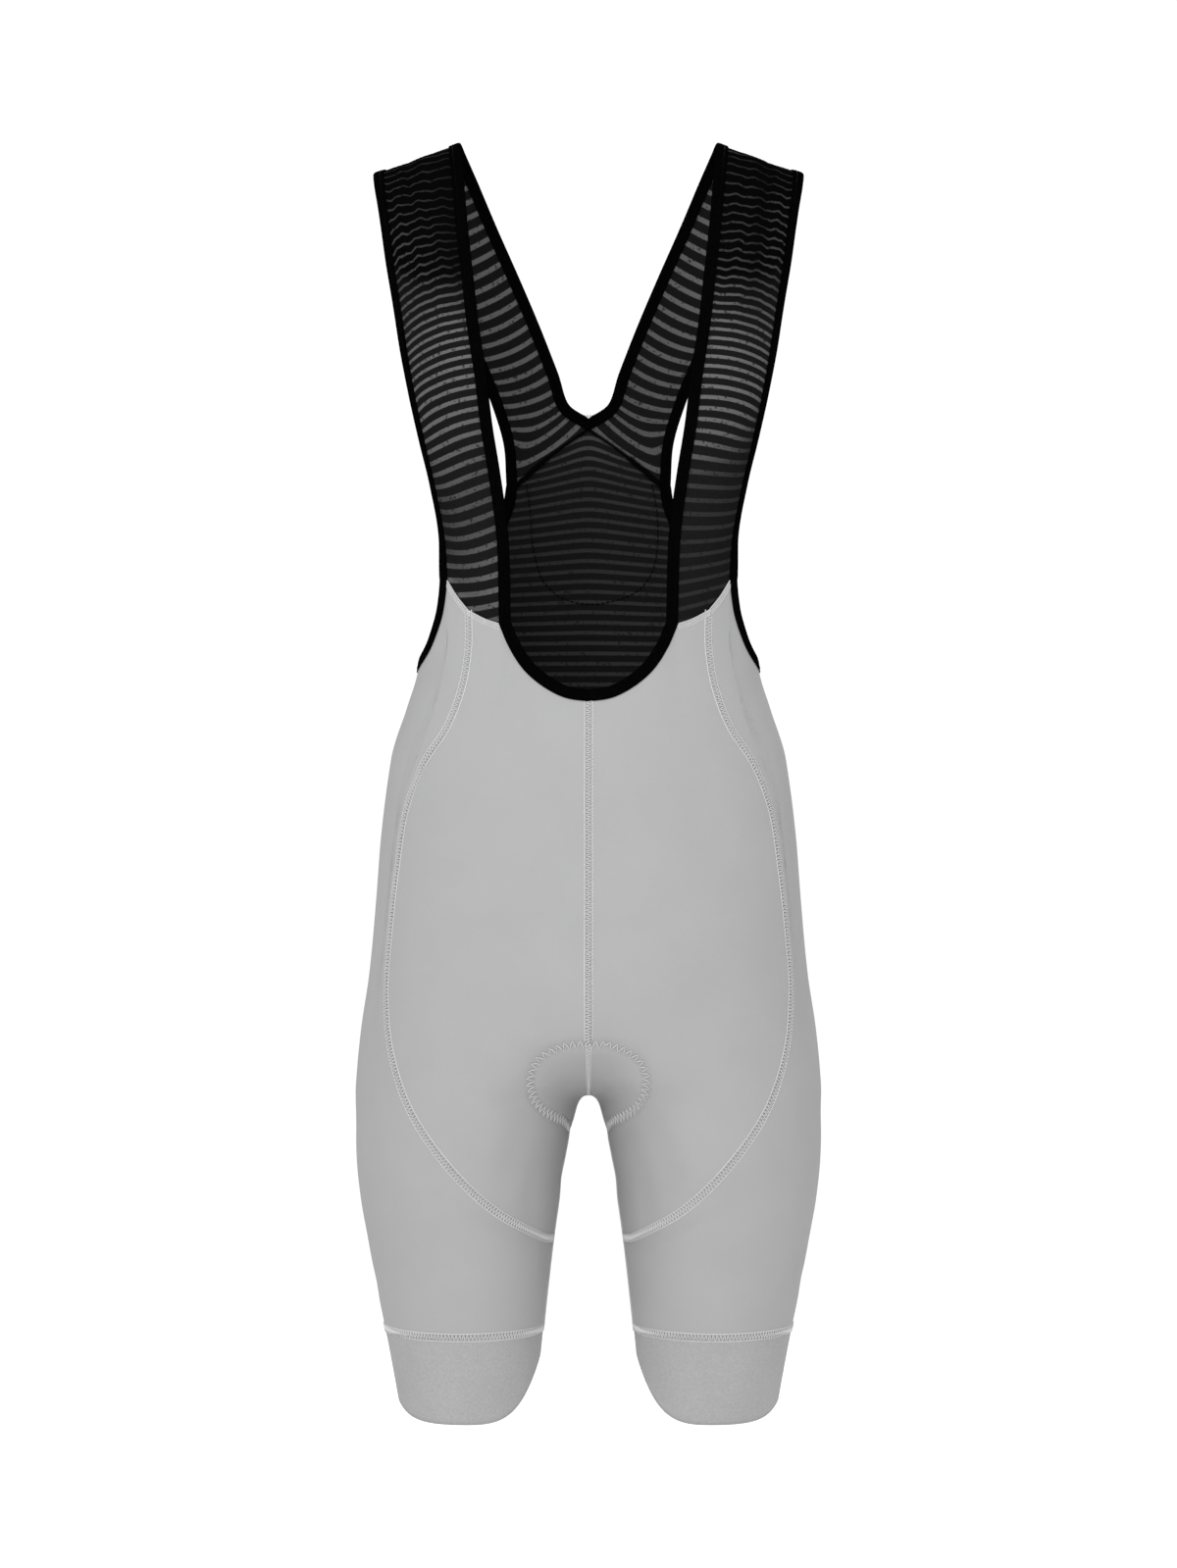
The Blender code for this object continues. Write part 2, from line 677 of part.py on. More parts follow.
def build_pad(material):
    """The padded seat inside the crotch, thick in the middle and thin at its edge."""
    stations = np.array(PAD_STATIONS, float)
    at = np.linspace(stations[0, 0], stations[-1, 0], CELLS_PAD_ALONG + 1)
    half_width = hermite(stations[:, 0], stations[:, 1] * MM, at)
    spine = profile_points(at)
    share = np.linspace(0, 1, CELLS_PAD_ACROSS + 1)
    columns = [spine]
    for part in share[1:]:
        way = np.broadcast_to([1.0, 0.0, 0.0], spine.shape)
        columns.append(walk_on_form(spine, way, half_width * part))
    half = np.stack(columns, axis=1)
    grid = np.concatenate([half[:, ::-1], mirrored(half[:, 1:])], axis=1)
    normals = form_normals(grid)
    across = np.abs(np.linspace(-1, 1, grid.shape[1]))[None, :, None]
    along = np.abs(np.linspace(-1, 1, grid.shape[0]))[:, None, None]
    fullness = (1 - across ** 3) * (1 - along ** 4)
    thickness = PAD_EDGE_THICKNESS + (PAD_MIDDLE_THICKNESS - PAD_EDGE_THICKNESS) * fullness
    outer = grid - normals * PAD_CLEARANCE
    add_wall("crotch_pad", outer, outer - normals * thickness, material)


def main():
    for item in list(bpy.data.objects):
        bpy.data.objects.remove(item, do_unlink=True)
    materials = {name: make_material(name) for name in MATERIALS}
    seams = seam_curves()
    front = form_panel(
        joined(seams["scoop"], seams["bib_front"]), seams["inseam_upper"],
        seams["centre_front"], seams["front_seam"],
    )
    seat = form_panel(
        seams["waist_seam"][::-1], seams["inseam_upper"][::-1],
        seams["back_seam"], seams["centre_back"],
    )
    add_both("front_panel", *front, materials["grey_knit"])
    add_both("side_panel", *side_panel(seams), materials["grey_knit"])
    add_both("seat_panel", *seat, materials["grey_knit"])
    rings = cuff_rings()
    add_cuff("leg_cuff_left", rings, materials["cuff_knit"])
    add_cuff("leg_cuff_right", mirrored(rings), materials["cuff_knit"])
    strap = strap_grid(seams)
    build_straps(strap, materials["striped_mesh"])
    build_back_mesh(seams, materials["striped_mesh"])
    build_bindings(seams, strap, materials["black_binding"])
    build_pad(materials["pad_foam"])


main()
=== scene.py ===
"""Cycling bib shorts in their worn shape, hollow, with nobody inside.

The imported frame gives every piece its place: metres, +Z up, the front faces -Y and +X is the
wearer's left. Grey knit panels, sheer striped straps and back, folded bindings, a crotch
pad and all the stitching are laid on one smooth body form.
"""

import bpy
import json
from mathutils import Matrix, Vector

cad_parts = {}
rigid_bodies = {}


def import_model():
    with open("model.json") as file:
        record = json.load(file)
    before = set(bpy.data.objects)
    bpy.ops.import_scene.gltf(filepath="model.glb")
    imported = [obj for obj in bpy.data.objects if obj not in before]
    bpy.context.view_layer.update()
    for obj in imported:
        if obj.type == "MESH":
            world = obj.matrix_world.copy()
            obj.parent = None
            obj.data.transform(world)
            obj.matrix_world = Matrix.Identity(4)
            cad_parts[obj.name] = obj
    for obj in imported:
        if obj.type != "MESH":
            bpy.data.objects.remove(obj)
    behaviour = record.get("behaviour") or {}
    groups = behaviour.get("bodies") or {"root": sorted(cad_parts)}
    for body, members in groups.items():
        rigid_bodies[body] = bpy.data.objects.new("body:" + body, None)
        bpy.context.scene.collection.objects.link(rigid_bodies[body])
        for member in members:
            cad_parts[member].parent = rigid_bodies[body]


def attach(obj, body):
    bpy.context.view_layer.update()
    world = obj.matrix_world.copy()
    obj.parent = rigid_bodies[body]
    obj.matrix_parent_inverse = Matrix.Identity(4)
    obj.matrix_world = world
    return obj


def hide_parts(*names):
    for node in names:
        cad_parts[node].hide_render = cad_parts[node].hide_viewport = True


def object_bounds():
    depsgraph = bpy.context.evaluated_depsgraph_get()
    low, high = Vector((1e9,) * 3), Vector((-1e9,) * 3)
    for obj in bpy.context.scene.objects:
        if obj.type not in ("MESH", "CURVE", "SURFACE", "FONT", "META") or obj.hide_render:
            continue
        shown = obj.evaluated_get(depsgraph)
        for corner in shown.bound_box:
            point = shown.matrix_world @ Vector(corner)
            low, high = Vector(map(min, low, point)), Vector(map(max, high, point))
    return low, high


bl_info = {
    "name": "Cycling bib shorts",
    "version": (1, 0, 0),
    "blender": (4, 5, 0),
    "location": "3D View > Sidebar > Bib Shorts",
    "description": "Builds knit panels, striped straps, bindings, pad and stitching on the frame",
    "category": "Object",
}

import functools
import json

import bmesh
import bpy
import numpy as np
from bpy.props import FloatProperty, FloatVectorProperty, PointerProperty
from mathutils import Vector

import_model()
FRAME_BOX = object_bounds()

MM = 0.001
REACH = 0.3

# Heights that several pieces share, the upright axis inside each half, and the hem
SCOOP_BOTTOM_Z = -410 * MM
WAIST_SEAM_Z = -440 * MM
LEG_SEAM_MEETING_Z = -803 * MM
CUFF_SEAM_Z = -868 * MM
PROFILE_PIVOT_Z = -620 * MM
AXIS_X, AXIS_Y = 88 * MM, 5 * MM
HEM_Z = -932 * MM
HEM_RISE_OUTER = 12 * MM
HEM_RISE_INNER = 44 * MM

# Cells across and along the pieces
FINENESS = 8
CELLS_SCOOP = 5 * FINENESS
CELLS_BIB_FRONT = 3 * FINENESS
CELLS_BIB_SIDE = 2 * FINENESS
CELLS_ARMHOLE = 14 * FINENESS
CELLS_PANEL_ACROSS = CELLS_SCOOP + CELLS_BIB_FRONT
CELLS_STRAP_ACROSS = CELLS_BIB_FRONT + CELLS_BIB_SIDE
CELLS_SIDE_ACROSS = CELLS_BIB_SIDE + CELLS_ARMHOLE
CELLS_SEAM = 18 * FINENESS
CELLS_INSEAM = 3 * FINENESS
CELLS_CUFF = 16
CELLS_STRAP_ALONG = 26 * FINENESS
CELLS_MESH_ALONG = 8 * FINENESS
CELLS_PAD_ALONG = 72
CELLS_PAD_ACROSS = 28
ARCH_CROWDING = 1.6
ROWS_EVENED = 4 * FINENESS

# The body form in millimetres, a row for each height: the outer side, the inner side of
# the thigh, front, back, how widely the halves are blended, and the power of the oval.
FORM_COLUMNS = ("z", "outer", "inner", "front", "back", "blend", "power")
FORM_SECTIONS = [
    (-150, 132, -132, -98, 101, 1, 2.4),
    (-200, 129, -129, -97, 99, 1, 2.4),
    (-260, 125, -125, -94, 95, 1, 2.4),
    (-330, 121, -121, -88, 90, 1, 2.4),
    (-384, 124, -124, -86, 87, 1, 2.4),
    (-416, 133, -133, -87, 89, 1, 2.35),
    (-452, 144, -144, -89, 95, 2, 2.3),
    (-506, 151, -148, -93, 105, 8, 2.2),
    (-560, 156, -136, -97, 115, 24, 2.15),
    (-610, 161, -102, -99, 121, 48, 2.1),
    (-650, 167, -52, -97, 122, 58, 2.05),
    (-680, 170, -14, -94, 118, 40, 2.0),
    (-698, 171, 6, -92, 113, 24, 2.0),
    (-716, 171, 12, -90, 107, 16, 2.0),
    (-744, 170, 18, -86, 99, 10, 2.0),
    (-773, 167, 22, -80, 91, 6, 2.0),
    (-801, 162, 26, -75, 84, 4, 2.0),
    (-844, 154, 31, -68, 75, 3, 2.0),
    (-873, 148, 34, -63, 70, 3, 2.0),
    (-905, 142, 37, -59, 66, 3, 2.0),
    (-945, 135, 40, -55, 62, 3, 2.0),
]

# Seams and cloth edges on the form: distance from the centre plane and height, millimetres
SCOOP_EDGE = [(0, -410), (16, -407.5), (31, -400), (45, -388), (56, -371), (62.5, -355.5)]
BIB_SEAM_FRONT = [(62.5, -355.5), (74, -351.5), (86, -345)]
BIB_SEAM_SIDE = [(86, -345), (94, -335), (102, -322)]
FRONT_SEAM = [
    (86, -345), (86, -372), (90, -398), (102, -430), (119, -455), (131, -487), (138, -530),
    (143, -575), (146, -618), (143, -657), (130, -698), (101, -742), (62, -780), (42, -793),
    (31, -800.5),
]
BACK_SEAM = [
    (110, -356), (116, -385), (128, -440), (140, -500), (147, -560), (152, -610),
    (154, -650), (147, -692), (126, -730), (95, -762), (64, -783), (43, -794), (31, -800.5),
]
ARMHOLE_FRONT = [(102, -322), (103, -333), (105, -346), (109, -359), (114, -371)]
ARMHOLE_BACK = [(116, -372), (110, -356)]
ARMHOLE_BOTTOM = (124, 8, -387)
MESH_SIDE_EDGE = [(55, -244.5), (57.5, -260), (66, -281), (80, -304), (96, -329), (110, -356)]
V_SEAM = [(0, -201), (28, -221), (55, -244.5)]
WAIST_SEAM = [(0, -440), (45, -433), (80, -411), (100, -382), (110, -356)]

# Finished edges of a strap in millimetres, from the bib seam over the shoulder to the V
STRAP_SECTIONS = [
    ((59, -85, -288), (109.5, -50, -296)),
    ((64.5, -89, -247), (116, -54, -259)),
    ((70, -93, -212), (123, -60, -229)),
    ((74, -96, -177), (130, -65, -197)),
    ((79, -97, -143), (136, -68, -164)),
    ((83, -94, -107), (141, -67, -131)),
    ((87, -82, -71), (147, -60, -95)),
    ((90, -60, -38), (152, -46, -60)),
    ((93, -32, -12), (156, -26, -35)),
    ((94, 0, 0), (157, 4, -22)),
    ((91, 32, -4), (150, 30, -26)),
    ((83, 58, -20), (138, 54, -42)),
    ((70, 79, -49), (122, 74, -72)),
    ((54, 90, -84), (106, 86, -108)),
    ((38, 96, -121), (90, 91, -144)),
    ((23.5, 99, -158), (74.5, 92, -181)),
    ((14, 99, -184), (64, 90, -215)),
]

# Crotch pad: angle round the profile pivot (0 forward, 90 down), half width in millimetres
PAD_STATIONS = [
    (18.5, 13), (20.5, 24), (24, 35), (29, 42.5), (35, 45), (43, 43), (54, 37), (66, 32),
    (80, 31), (94, 35), (108, 45), (122, 60), (136, 70), (149, 73), (160, 67), (169, 53),
    (175, 31),
]

# Its gap to the cloth, its thickness at the edge and what the middle adds to it
PAD_GAP, PAD_EDGE, PAD_FULL = 3.0 * MM, 2.5 * MM, 5.5 * MM
PAD_CHANNEL_DEPTH, PAD_GROOVE_DEPTH = 3.0 * MM, 1.4 * MM
PAD_STITCH_WIDTH, PAD_STITCH_PITCH = 7.0 * MM, 5.4 * MM

# Stripes of a strap, by the distance along it from the bib seam in millimetres: spacing of
# the stripes, share of it that is sheer, how far a stripe falls from the neck side to the
# arm side against the strap's own square, how far its middle rises, how much painted light
# brightens its sheer part (low values paint it in shade), how far that painted light leans
# to the arm side, and how tightly the cloth is gathered.
STRIPE_COLUMNS = ("along", "spacing", "sheer", "fall", "rise", "painted_light", "lean", "gather")
STRIPES_RIGHT = [
    (0, 9.6, 0.36, 0, -2.0, 0.80, 0.3, 0),
    (25, 10.0, 0.36, 0.6, -2.5, 0.62, -0.6, 0),
    (45, 10.2, 0.36, 3, -2.8, 0.50, -0.6, 0),
    (70, 10.4, 0.36, 6.5, -1.2, 0.42, -0.1, 0),
    (100, 10.4, 0.36, 10.2, 1.0, 0.66, 0.35, 0),
    (135, 10.0, 0.36, 12, 2.8, 0.92, 0.1, 0),
    (170, 9.1, 0.36, 11, 3.2, 1.00, -0.15, 0),
    (205, 7.8, 0.34, 8.8, 3.0, 0.86, -0.4, 0.1),
    (230, 6.6, 0.30, 7.6, 2.6, 0.50, -0.3, 0.4),
    (250, 6.3, 0.25, 4.5, 1.6, 0.36, 0.6, 0.9),
    (270, 6.6, 0.23, -3, 0.5, 0.32, 0.8, 1.0),
    (288, 6.8, 0.20, -10, 0.0, 0.24, 0.6, 1.0),
    (305, 7.0, 0.19, -12, 0.0, 0.17, 0.4, 1.0),
    (325, 7.4, 0.20, -8, 0.0, 0.18, 0.4, 1.0),
    (345, 8.0, 0.22, -5, 0.0, 0.14, 0.4, 0.9),
    (375, 10.4, 0.30, -2, 1.0, 0.60, 0, 0.3),
    (405, 12.2, 0.35, 0, 1.5, 0.92, 0, 0),
    (480, 11.4, 0.36, 0, 2.0, 1.00, 0, 0),
    (540, 10.6, 0.36, 0, 2.8, 0.95, 0, 0),
    (620, 10.0, 0.36, 0, 3.6, 0.80, 0, 0),
    (700, 10.0, 0.36, 0, 3.6, 0.80, 0, 0),
]
STRIPES_LEFT = [
    (0, 9.0, 0.32, -14, 0.0, 0.08, 0, 0),
    (30, 9.0, 0.32, -10.5, 0.0, 0.09, 0, 0),
    (65, 9.0, 0.32, -6.3, 0.0, 0.10, 0, 0),
    (98, 9.2, 0.33, -3.6, 0.8, 0.16, -0.4, 0),
    (116, 9.8, 0.34, 1.5, 1.6, 0.50, -0.4, 0),
    (130, 9.8, 0.35, 4.7, 2.6, 0.80, -0.2, 0),
    (157, 9.4, 0.36, 4.3, 3.4, 1.00, -0.1, 0),
    (183, 8.6, 0.36, 3.6, 3.2, 0.98, -0.3, 0),
    (207, 7.6, 0.34, 1.8, 2.8, 0.80, -0.4, 0.15),
    (229, 6.7, 0.30, -2, 2.2, 0.56, -0.5, 0.4),
    (249, 6.4, 0.26, -7.6, 1.2, 0.44, 0.1, 0.8),
    (266, 6.4, 0.24, -7.8, 0.5, 0.42, 0.35, 1.0),
    (284, 6.6, 0.22, -9.8, 0.3, 0.38, 0.4, 1.0),
    (301, 6.8, 0.21, -10.4, 0.0, 0.32, 0.2, 0.9),
    (319, 7.2, 0.20, -5, 0.0, 0.20, -0.1, 1.0),
    (345, 8.0, 0.22, -4, 0.0, 0.14, 0.3, 0.9),
    (375, 10.4, 0.30, -2, 1.0, 0.60, 0, 0.3),
    (405, 12.2, 0.35, 0, 1.5, 0.92, 0, 0),
    (480, 11.4, 0.36, 0, 2.0, 1.00, 0, 0),
    (540, 10.6, 0.36, 0, 2.8, 0.90, 0, 0),
    (620, 10.0, 0.36, 0, 3.6, 0.70, 0, 0),
    (700, 10.0, 0.36, 0, 3.6, 0.70, 0, 0),
]

# Stripes of the back mesh, by height in millimetres: slope of the stripe away from its
# rounded peak on the centre line, and how much painted light brightens its sheer part
BACK_STRIPE_SPACING = 7.8 * MM
BACK_SHEER_SHARE = 0.37
BACK_PEAK_ROUNDING = 11 * MM
BACK_COUNT_FROM = 0.5
BACK_STRIPE_COLUMNS = ("z", "slope", "painted_light")
BACK_STRIPES = [
    (-450, 0.00, 0.16),
    (-400, 0.00, 0.20),
    (-365, 0.02, 0.20),
    (-330, 0.06, 0.16),
    (-290, 0.13, 0.14),
    (-255, 0.22, 0.14),
    (-232, 0.38, 0.18),
    (-215, 0.62, 0.34),
    (-195, 0.70, 0.40),
]

# Soft folds of the knit in millimetres: two ends (x, y, z), how wide, how deep (a trough
# is negative, a ridge positive). They are laid one by one, uneven, and differ on each side.
FOLDS = [
    ((22, -95, -668), (66, -93, -712), 13, -0.9),
    ((-20, -95, -664), (-58, -93, -716), 15, -1.1),
    ((30, -92, -706), (52, -86, -768), 11, -1.0),
    ((-29, -92, -702), (-55, -86, -776), 13, -1.2),
    ((40, -90, -690), (74, -88, -738), 16, 0.7),
    ((-42, -90, -694), (-70, -88, -744), 14, 0.6),
    ((26, -70, -742), (36, -52, -806), 10, -0.9),
    ((-27, -70, -738), (-38, -52, -812), 12, -1.0),
    ((60, -97, -640), (112, -84, -604), 20, -0.5),
    ((-54, -97, -634), (-118, -82, -610), 22, -0.6),
    ((96, -70, -448), (136, -40, -468), 12, -0.7),
    ((-92, -72, -444), (-138, -36, -462), 11, -0.8),
    ((104, -50, -420), (132, -8, -430), 9, 0.5),
    ((-106, -50, -424), (-131, -4, -436), 10, 0.6),
    ((134, 20, -452), (106, 78, -470), 12, -0.9),
    ((-136, 24, -446), (-100, 82, -462), 13, -0.8),
    ((128, 44, -486), (86, 96, -506), 15, -0.8),
    ((-130, 40, -492), (-80, 98, -500), 14, -1.0),
    ((20, 92, -462), (78, 84, -446), 11, -0.8),
    ((-14, 92, -474), (-72, 88, -456), 12, -0.9),
    ((26, 112, -676), (92, 108, -700), 13, -1.3),
    ((-22, 112, -680), (-98, 106, -694), 14, -1.4),
    ((46, 104, -712), (118, 84, -716), 12, 0.8),
    ((-40, 104, -716), (-112, 86, -722), 13, 0.9),
    ((34, 96, -732), (96, 92, -748), 11, -1.1),
    ((-36, 96, -738), (-104, 86, -742), 12, -1.0),
    ((60, 84, -792), (126, 58, -776), 12, -0.7),
    ((-54, 84, -786), (-120, 62, -782), 13, -0.8),
    ((158, -20, -706), (152, 44, -724), 15, -0.7),
    ((-160, -14, -714), (-150, 48, -730), 14, -0.8),
    ((150, -30, -836), (146, 30, -826), 10, -0.5),
    ((-150, -26, -830), (-147, 34, -840), 11, -0.6),
    ((34, -20, -752), (34, 34, -764), 10, -0.9),
    ((-35, -24, -758), (-34, 30, -750), 10, -0.8),
    ((60, -60, -858), (118, -54, -862), 7, 0.35),
    ((-52, -60, -859), (-112, -56, -857), 7, 0.35),
]
FOLD_POINTS = 22
FOLD_REACH = 90 * MM

# The knit sinks a little where the pad is sewn through it
PAD_TUCK = 1.0 * MM
PAD_TUCK_REACH = 4.5 * MM
PAD_RING_REACH = 160 * MM

# The floor lies clear of the hanging hems
FLOOR_DROP = 0.26
FLOOR_HALF_SIZE = 30.0
FLOOR_COLOUR = (0.99, 0.99, 0.99)
WORLD_STRENGTH = 1.04
LAMP_TARGET = (0.0, 0.0, -0.42)
# Each lamp: name, place, width and power in watts
LAMPS = [
    ("key", (-0.30, -1.75, 0.42), 1.0, 22.0),
    ("rear", (0.30, 1.75, 0.50), 1.0, 19.0),
]
CAMERA_PLACE = (0.0, -3.0, -0.470)
CAMERA_LENS = 93.8

# The dark stitched line on the inside of the back mesh, millimetres across and up
POCKET_LINE = [
    (-47, -243), (-44.5, -262), (-41, -297), (-34, -317), (-21, -329), (0, -334),
    (22, -331), (40, -322), (49, -308), (52.5, -285), (51, -258), (48, -243),
]

# Section of a folded tape: share of its width beyond the cloth's edge, share of its depth
TAPE_SECTION = [
    (-0.16, 0.88), (-0.08, 0.98), (0.05, 1.0), (0.16, 0.92), (0.24, 0.86), (0.32, 0.95),
    (0.50, 1.04), (0.72, 1.02), (0.88, 0.86), (0.97, 0.50), (1.0, 0.0),
]
TAPE_HALF_DEPTH = 1.05 * MM
TAPE_GROOVE = 0.24


class ClothSizes(bpy.types.PropertyGroup):
    """Thicknesses and stitch sizes that a maker may change."""

    knit_wall: FloatProperty(
        name="Knit thickness", description="Wall of the grey knit panels",
        default=0.0009, min=0.0002, unit="LENGTH")
    mesh_wall: FloatProperty(
        name="Mesh thickness", description="Wall of the striped mesh",
        default=0.0005, min=0.0002, unit="LENGTH")
    binding_wall: FloatProperty(
        name="Binding thickness", description="Wall of the elastic tape",
        default=0.0005, min=0.0002, unit="LENGTH")
    binding_width: FloatProperty(
        name="Binding width", description="Visible width of a folded binding",
        default=0.0072, min=0.003, unit="LENGTH")
    flatlock_width: FloatProperty(
        name="Flatlock width", description="Width of a flat seam's stitching",
        default=0.0056, min=0.002, unit="LENGTH")
    flatlock_pitch: FloatProperty(
        name="Flatlock pitch", description="Distance from one zigzag to the next",
        default=0.0026, min=0.001, unit="LENGTH")
    thread_radius: FloatProperty(
        name="Thread radius", description="Half the thickness of the seam thread",
        default=0.00040, min=0.0001, unit="LENGTH")


class ClothColours(bpy.types.PropertyGroup):
    """Colours of the cloth, the trim and the thread."""

    knit: FloatVectorProperty(
        name="Knit", description="Grey knit of the panels",
        default=(0.302, 0.302, 0.303), size=3, subtype="COLOR")
    cuff: FloatVectorProperty(
        name="Cuff", description="Grainy knit of the leg cuffs",
        default=(0.298, 0.298, 0.299), size=3, subtype="COLOR")
    thread: FloatVectorProperty(
        name="Thread", description="Pale thread of the grey seams",
        default=(0.56, 0.56, 0.56), size=3, subtype="COLOR")
    mesh_band: FloatVectorProperty(
        name="Mesh band", description="Close-knit black bands of the mesh",
        default=(0.0072, 0.0072, 0.0074), size=3, subtype="COLOR")
    mesh_sheer: FloatVectorProperty(
        name="Mesh sheer", description="Open stripes of the mesh",
        default=(0.098, 0.098, 0.098), size=3, subtype="COLOR")
    binding: FloatVectorProperty(
        name="Binding", description="Black elastic tape and black thread",
        default=(0.0009, 0.0009, 0.0009), size=3, subtype="COLOR")
    pad: FloatVectorProperty(
        name="Pad", description="Cover of the crotch pad",
        default=(0.36, 0.36, 0.37), size=3, subtype="COLOR")


def sizes():
    return bpy.context.scene.bib_sizes


def colours():
    return bpy.context.scene.bib_colours


# ---------------------------------------------------------------- the body form

def unit(vectors):
    return vectors / np.maximum(np.linalg.norm(vectors, axis=-1, keepdims=True), 1e-12)


def cubic(t, start, rise, low, high):
    """A curve from start up by rise over t from 0 to 1, with the slopes low and high."""
    return start + t * (low + t * (3 * rise - 2 * low - high + t * (low + high - 2 * rise)))


def hermite(knots, values, at):
    """A smooth curve through values at the knots that never swings past them."""
    knots = np.asarray(knots, float)
    values = np.asarray(values, float)
    step = np.diff(knots)
    slope = np.diff(values) / step
    tangent = np.zeros_like(values)
    tangent[0] = slope[0]
    tangent[-1] = slope[-1]
    before, after = slope[:-1], slope[1:]
    same_way = before * after > 0
    total = np.where(same_way, before + after, 1.0)
    tangent[1:-1] = np.where(same_way, 2.0 * before * after / total, 0.0)
    at = np.clip(at, knots[0], knots[-1])
    index = np.clip(np.searchsorted(knots, at, side="right") - 1, 0, len(step) - 1)
    width = step[index]
    t = (at - knots[index]) / width
    rise = values[index + 1] - values[index]
    low, high = tangent[index] * width, tangent[index + 1] * width
    return cubic(t, values[index], rise, low, high)


def table_at(rows, columns, at, unscaled=()):
    """Each named column of a table at the given values of its first one, in metres."""
    table = np.array(sorted(rows), float)
    found = {}
    for index, column in enumerate(columns[1:], start=1):
        scale = 1.0 if column in unscaled else MM
        found[column] = hermite(table[:, 0] * MM, table[:, index] * scale, at)
    return found


def form_at(height):
    return table_at(FORM_SECTIONS, FORM_COLUMNS, height, unscaled=("power",))


def form_distance(points):
    """How far each point is outside the body form, roughly; negative inside."""
    x, y, height = points[..., 0], points[..., 1], points[..., 2]
    form = form_at(height)
    centre_x = (form["outer"] + form["inner"]) / 2
    radius_x = (form["outer"] - form["inner"]) / 2
    centre_y = (form["front"] + form["back"]) / 2
    radius_y = (form["back"] - form["front"]) / 2
    power = form["power"]
    depth = np.abs((y - centre_y) / radius_y) ** power
    halves = []
    for side in (-1, 1):
        across = np.abs((x - side * centre_x) / radius_x) ** power
        halves.append(((across + depth) ** (1 / power) - 1) * radius_x)
    lap = np.maximum(form["blend"] - np.abs(halves[0] - halves[1]), 0)
    return np.minimum(*halves) - lap ** 2 / (4 * form["blend"])


def form_slope(points):
    reach = 0.05 * MM
    parts = []
    for axis in np.eye(3):
        change = form_distance(points + reach * axis) - form_distance(points - reach * axis)
        parts.append(change / (2 * reach))
    return np.stack(parts, axis=-1)


def form_normals(points):
    return unit(form_slope(points))


def onto_form(points, rounds=14):
    """Each point moved square onto the form's surface."""
    for _ in range(rounds):
        slope = form_slope(points)
        steep = np.maximum((slope ** 2).sum(axis=-1, keepdims=True), 0.05)
        points = points - form_distance(points)[..., None] * slope / steep
    return points


def form_between(outside, inside):
    """The surface point between each pair of an outside and an inside point."""
    for _ in range(40):
        middle = (outside + inside) / 2
        is_out = (form_distance(middle) > 0)[..., None]
        outside = np.where(is_out, middle, outside)
        inside = np.where(is_out, inside, middle)
    return (outside + inside) / 2


def form_face(x, height, side):
    """Points of the form's front (side -1) or back (side 1) at x and height."""
    form = form_at(height)
    middle = (form["front"] + form["back"]) / 2
    inside = np.stack([x, middle, height], axis=-1)
    outside = np.stack([x, np.full_like(x, REACH * side), height], axis=-1)
    return form_between(outside, inside)


def form_round(angle, height):
    """Points of one half at angles round its axis: 0 inward, 90 degrees to the front."""
    way = np.stack([-np.cos(angle), -np.sin(angle), np.zeros_like(angle)], axis=-1)
    axis = np.stack([np.full_like(height, AXIS_X), np.full_like(height, AXIS_Y), height], axis=-1)
    inward = np.minimum(AXIS_X / np.maximum(np.cos(angle), 1e-6), REACH)
    reach = np.where(np.cos(angle) > 0, inward, REACH)
    return form_between(axis + way * reach[..., None], axis)


def angle_round(points, start):
    """The angle of each point round its half's axis, counted up from start."""
    angle = np.arctan2(AXIS_Y - points[..., 1], AXIS_X - points[..., 0])
    return start + np.mod(angle - start, 2 * np.pi)


# ---------------------------------------------------------------- curves and grids

def lengths_along(points):
    steps = np.linalg.norm(np.diff(points, axis=0), axis=1)
    return np.concatenate([[0.0], np.cumsum(steps)])


def smooth_curve(points, samples=480):
    """A close-set smooth curve through the points."""
    points = np.asarray(points, float)
    knots = lengths_along(points)
    tangents = np.gradient(points, knots, axis=0)
    at = np.linspace(0, knots[-1], samples)
    index = np.clip(np.searchsorted(knots, at, side="right") - 1, 0, len(knots) - 2)
    width = (knots[index + 1] - knots[index])[:, None]
    t = (at - knots[index])[:, None] / width
    low, high = tangents[index] * width, tangents[index + 1] * width
    return cubic(t, points[index], points[index + 1] - points[index], low, high)


def placed_at(points, at):
    """Points at the given distances along a line of points."""
    along = lengths_along(points)
    return np.stack([np.interp(at, along, points[:, axis]) for axis in range(3)], axis=-1)


def divided(points, cells, crowding=1.0):
    """The curve cut into cells of equal length, or shorter ones at its start."""
    length = lengths_along(points)[-1]
    return placed_at(points, length * np.linspace(0, 1, cells + 1) ** crowding)


def joined(*curves):
    """Curves end to end, each shared end point once."""
    return np.concatenate([curves[0]] + [curve[1:] for curve in curves[1:]])


def mirrored(points):
    return points * np.array([-1.0, 1.0, 1.0])


def drawn_seam(rows, side, last=None):
    """A seam drawn on the form's front or back, running on to the point last if given."""
    flat = np.array([(x * MM, 0.0, height * MM) for x, height in rows])
    curve = smooth_curve(flat)
    on_form = form_face(curve[:, 0], curve[:, 2], side)
    if last is None:
        return on_form
    return joined(on_form, onto_form(smooth_curve([on_form[-1], last], 40)))


def crotch_point():
    """The lowest point of the form between the two thighs."""
    form = form_at(np.array(-0.698))
    middle = (form["front"] + form["back"]) / 2
    return form_between(np.array([0.0, middle, -0.76]), np.array([0.0, middle, -0.64]))


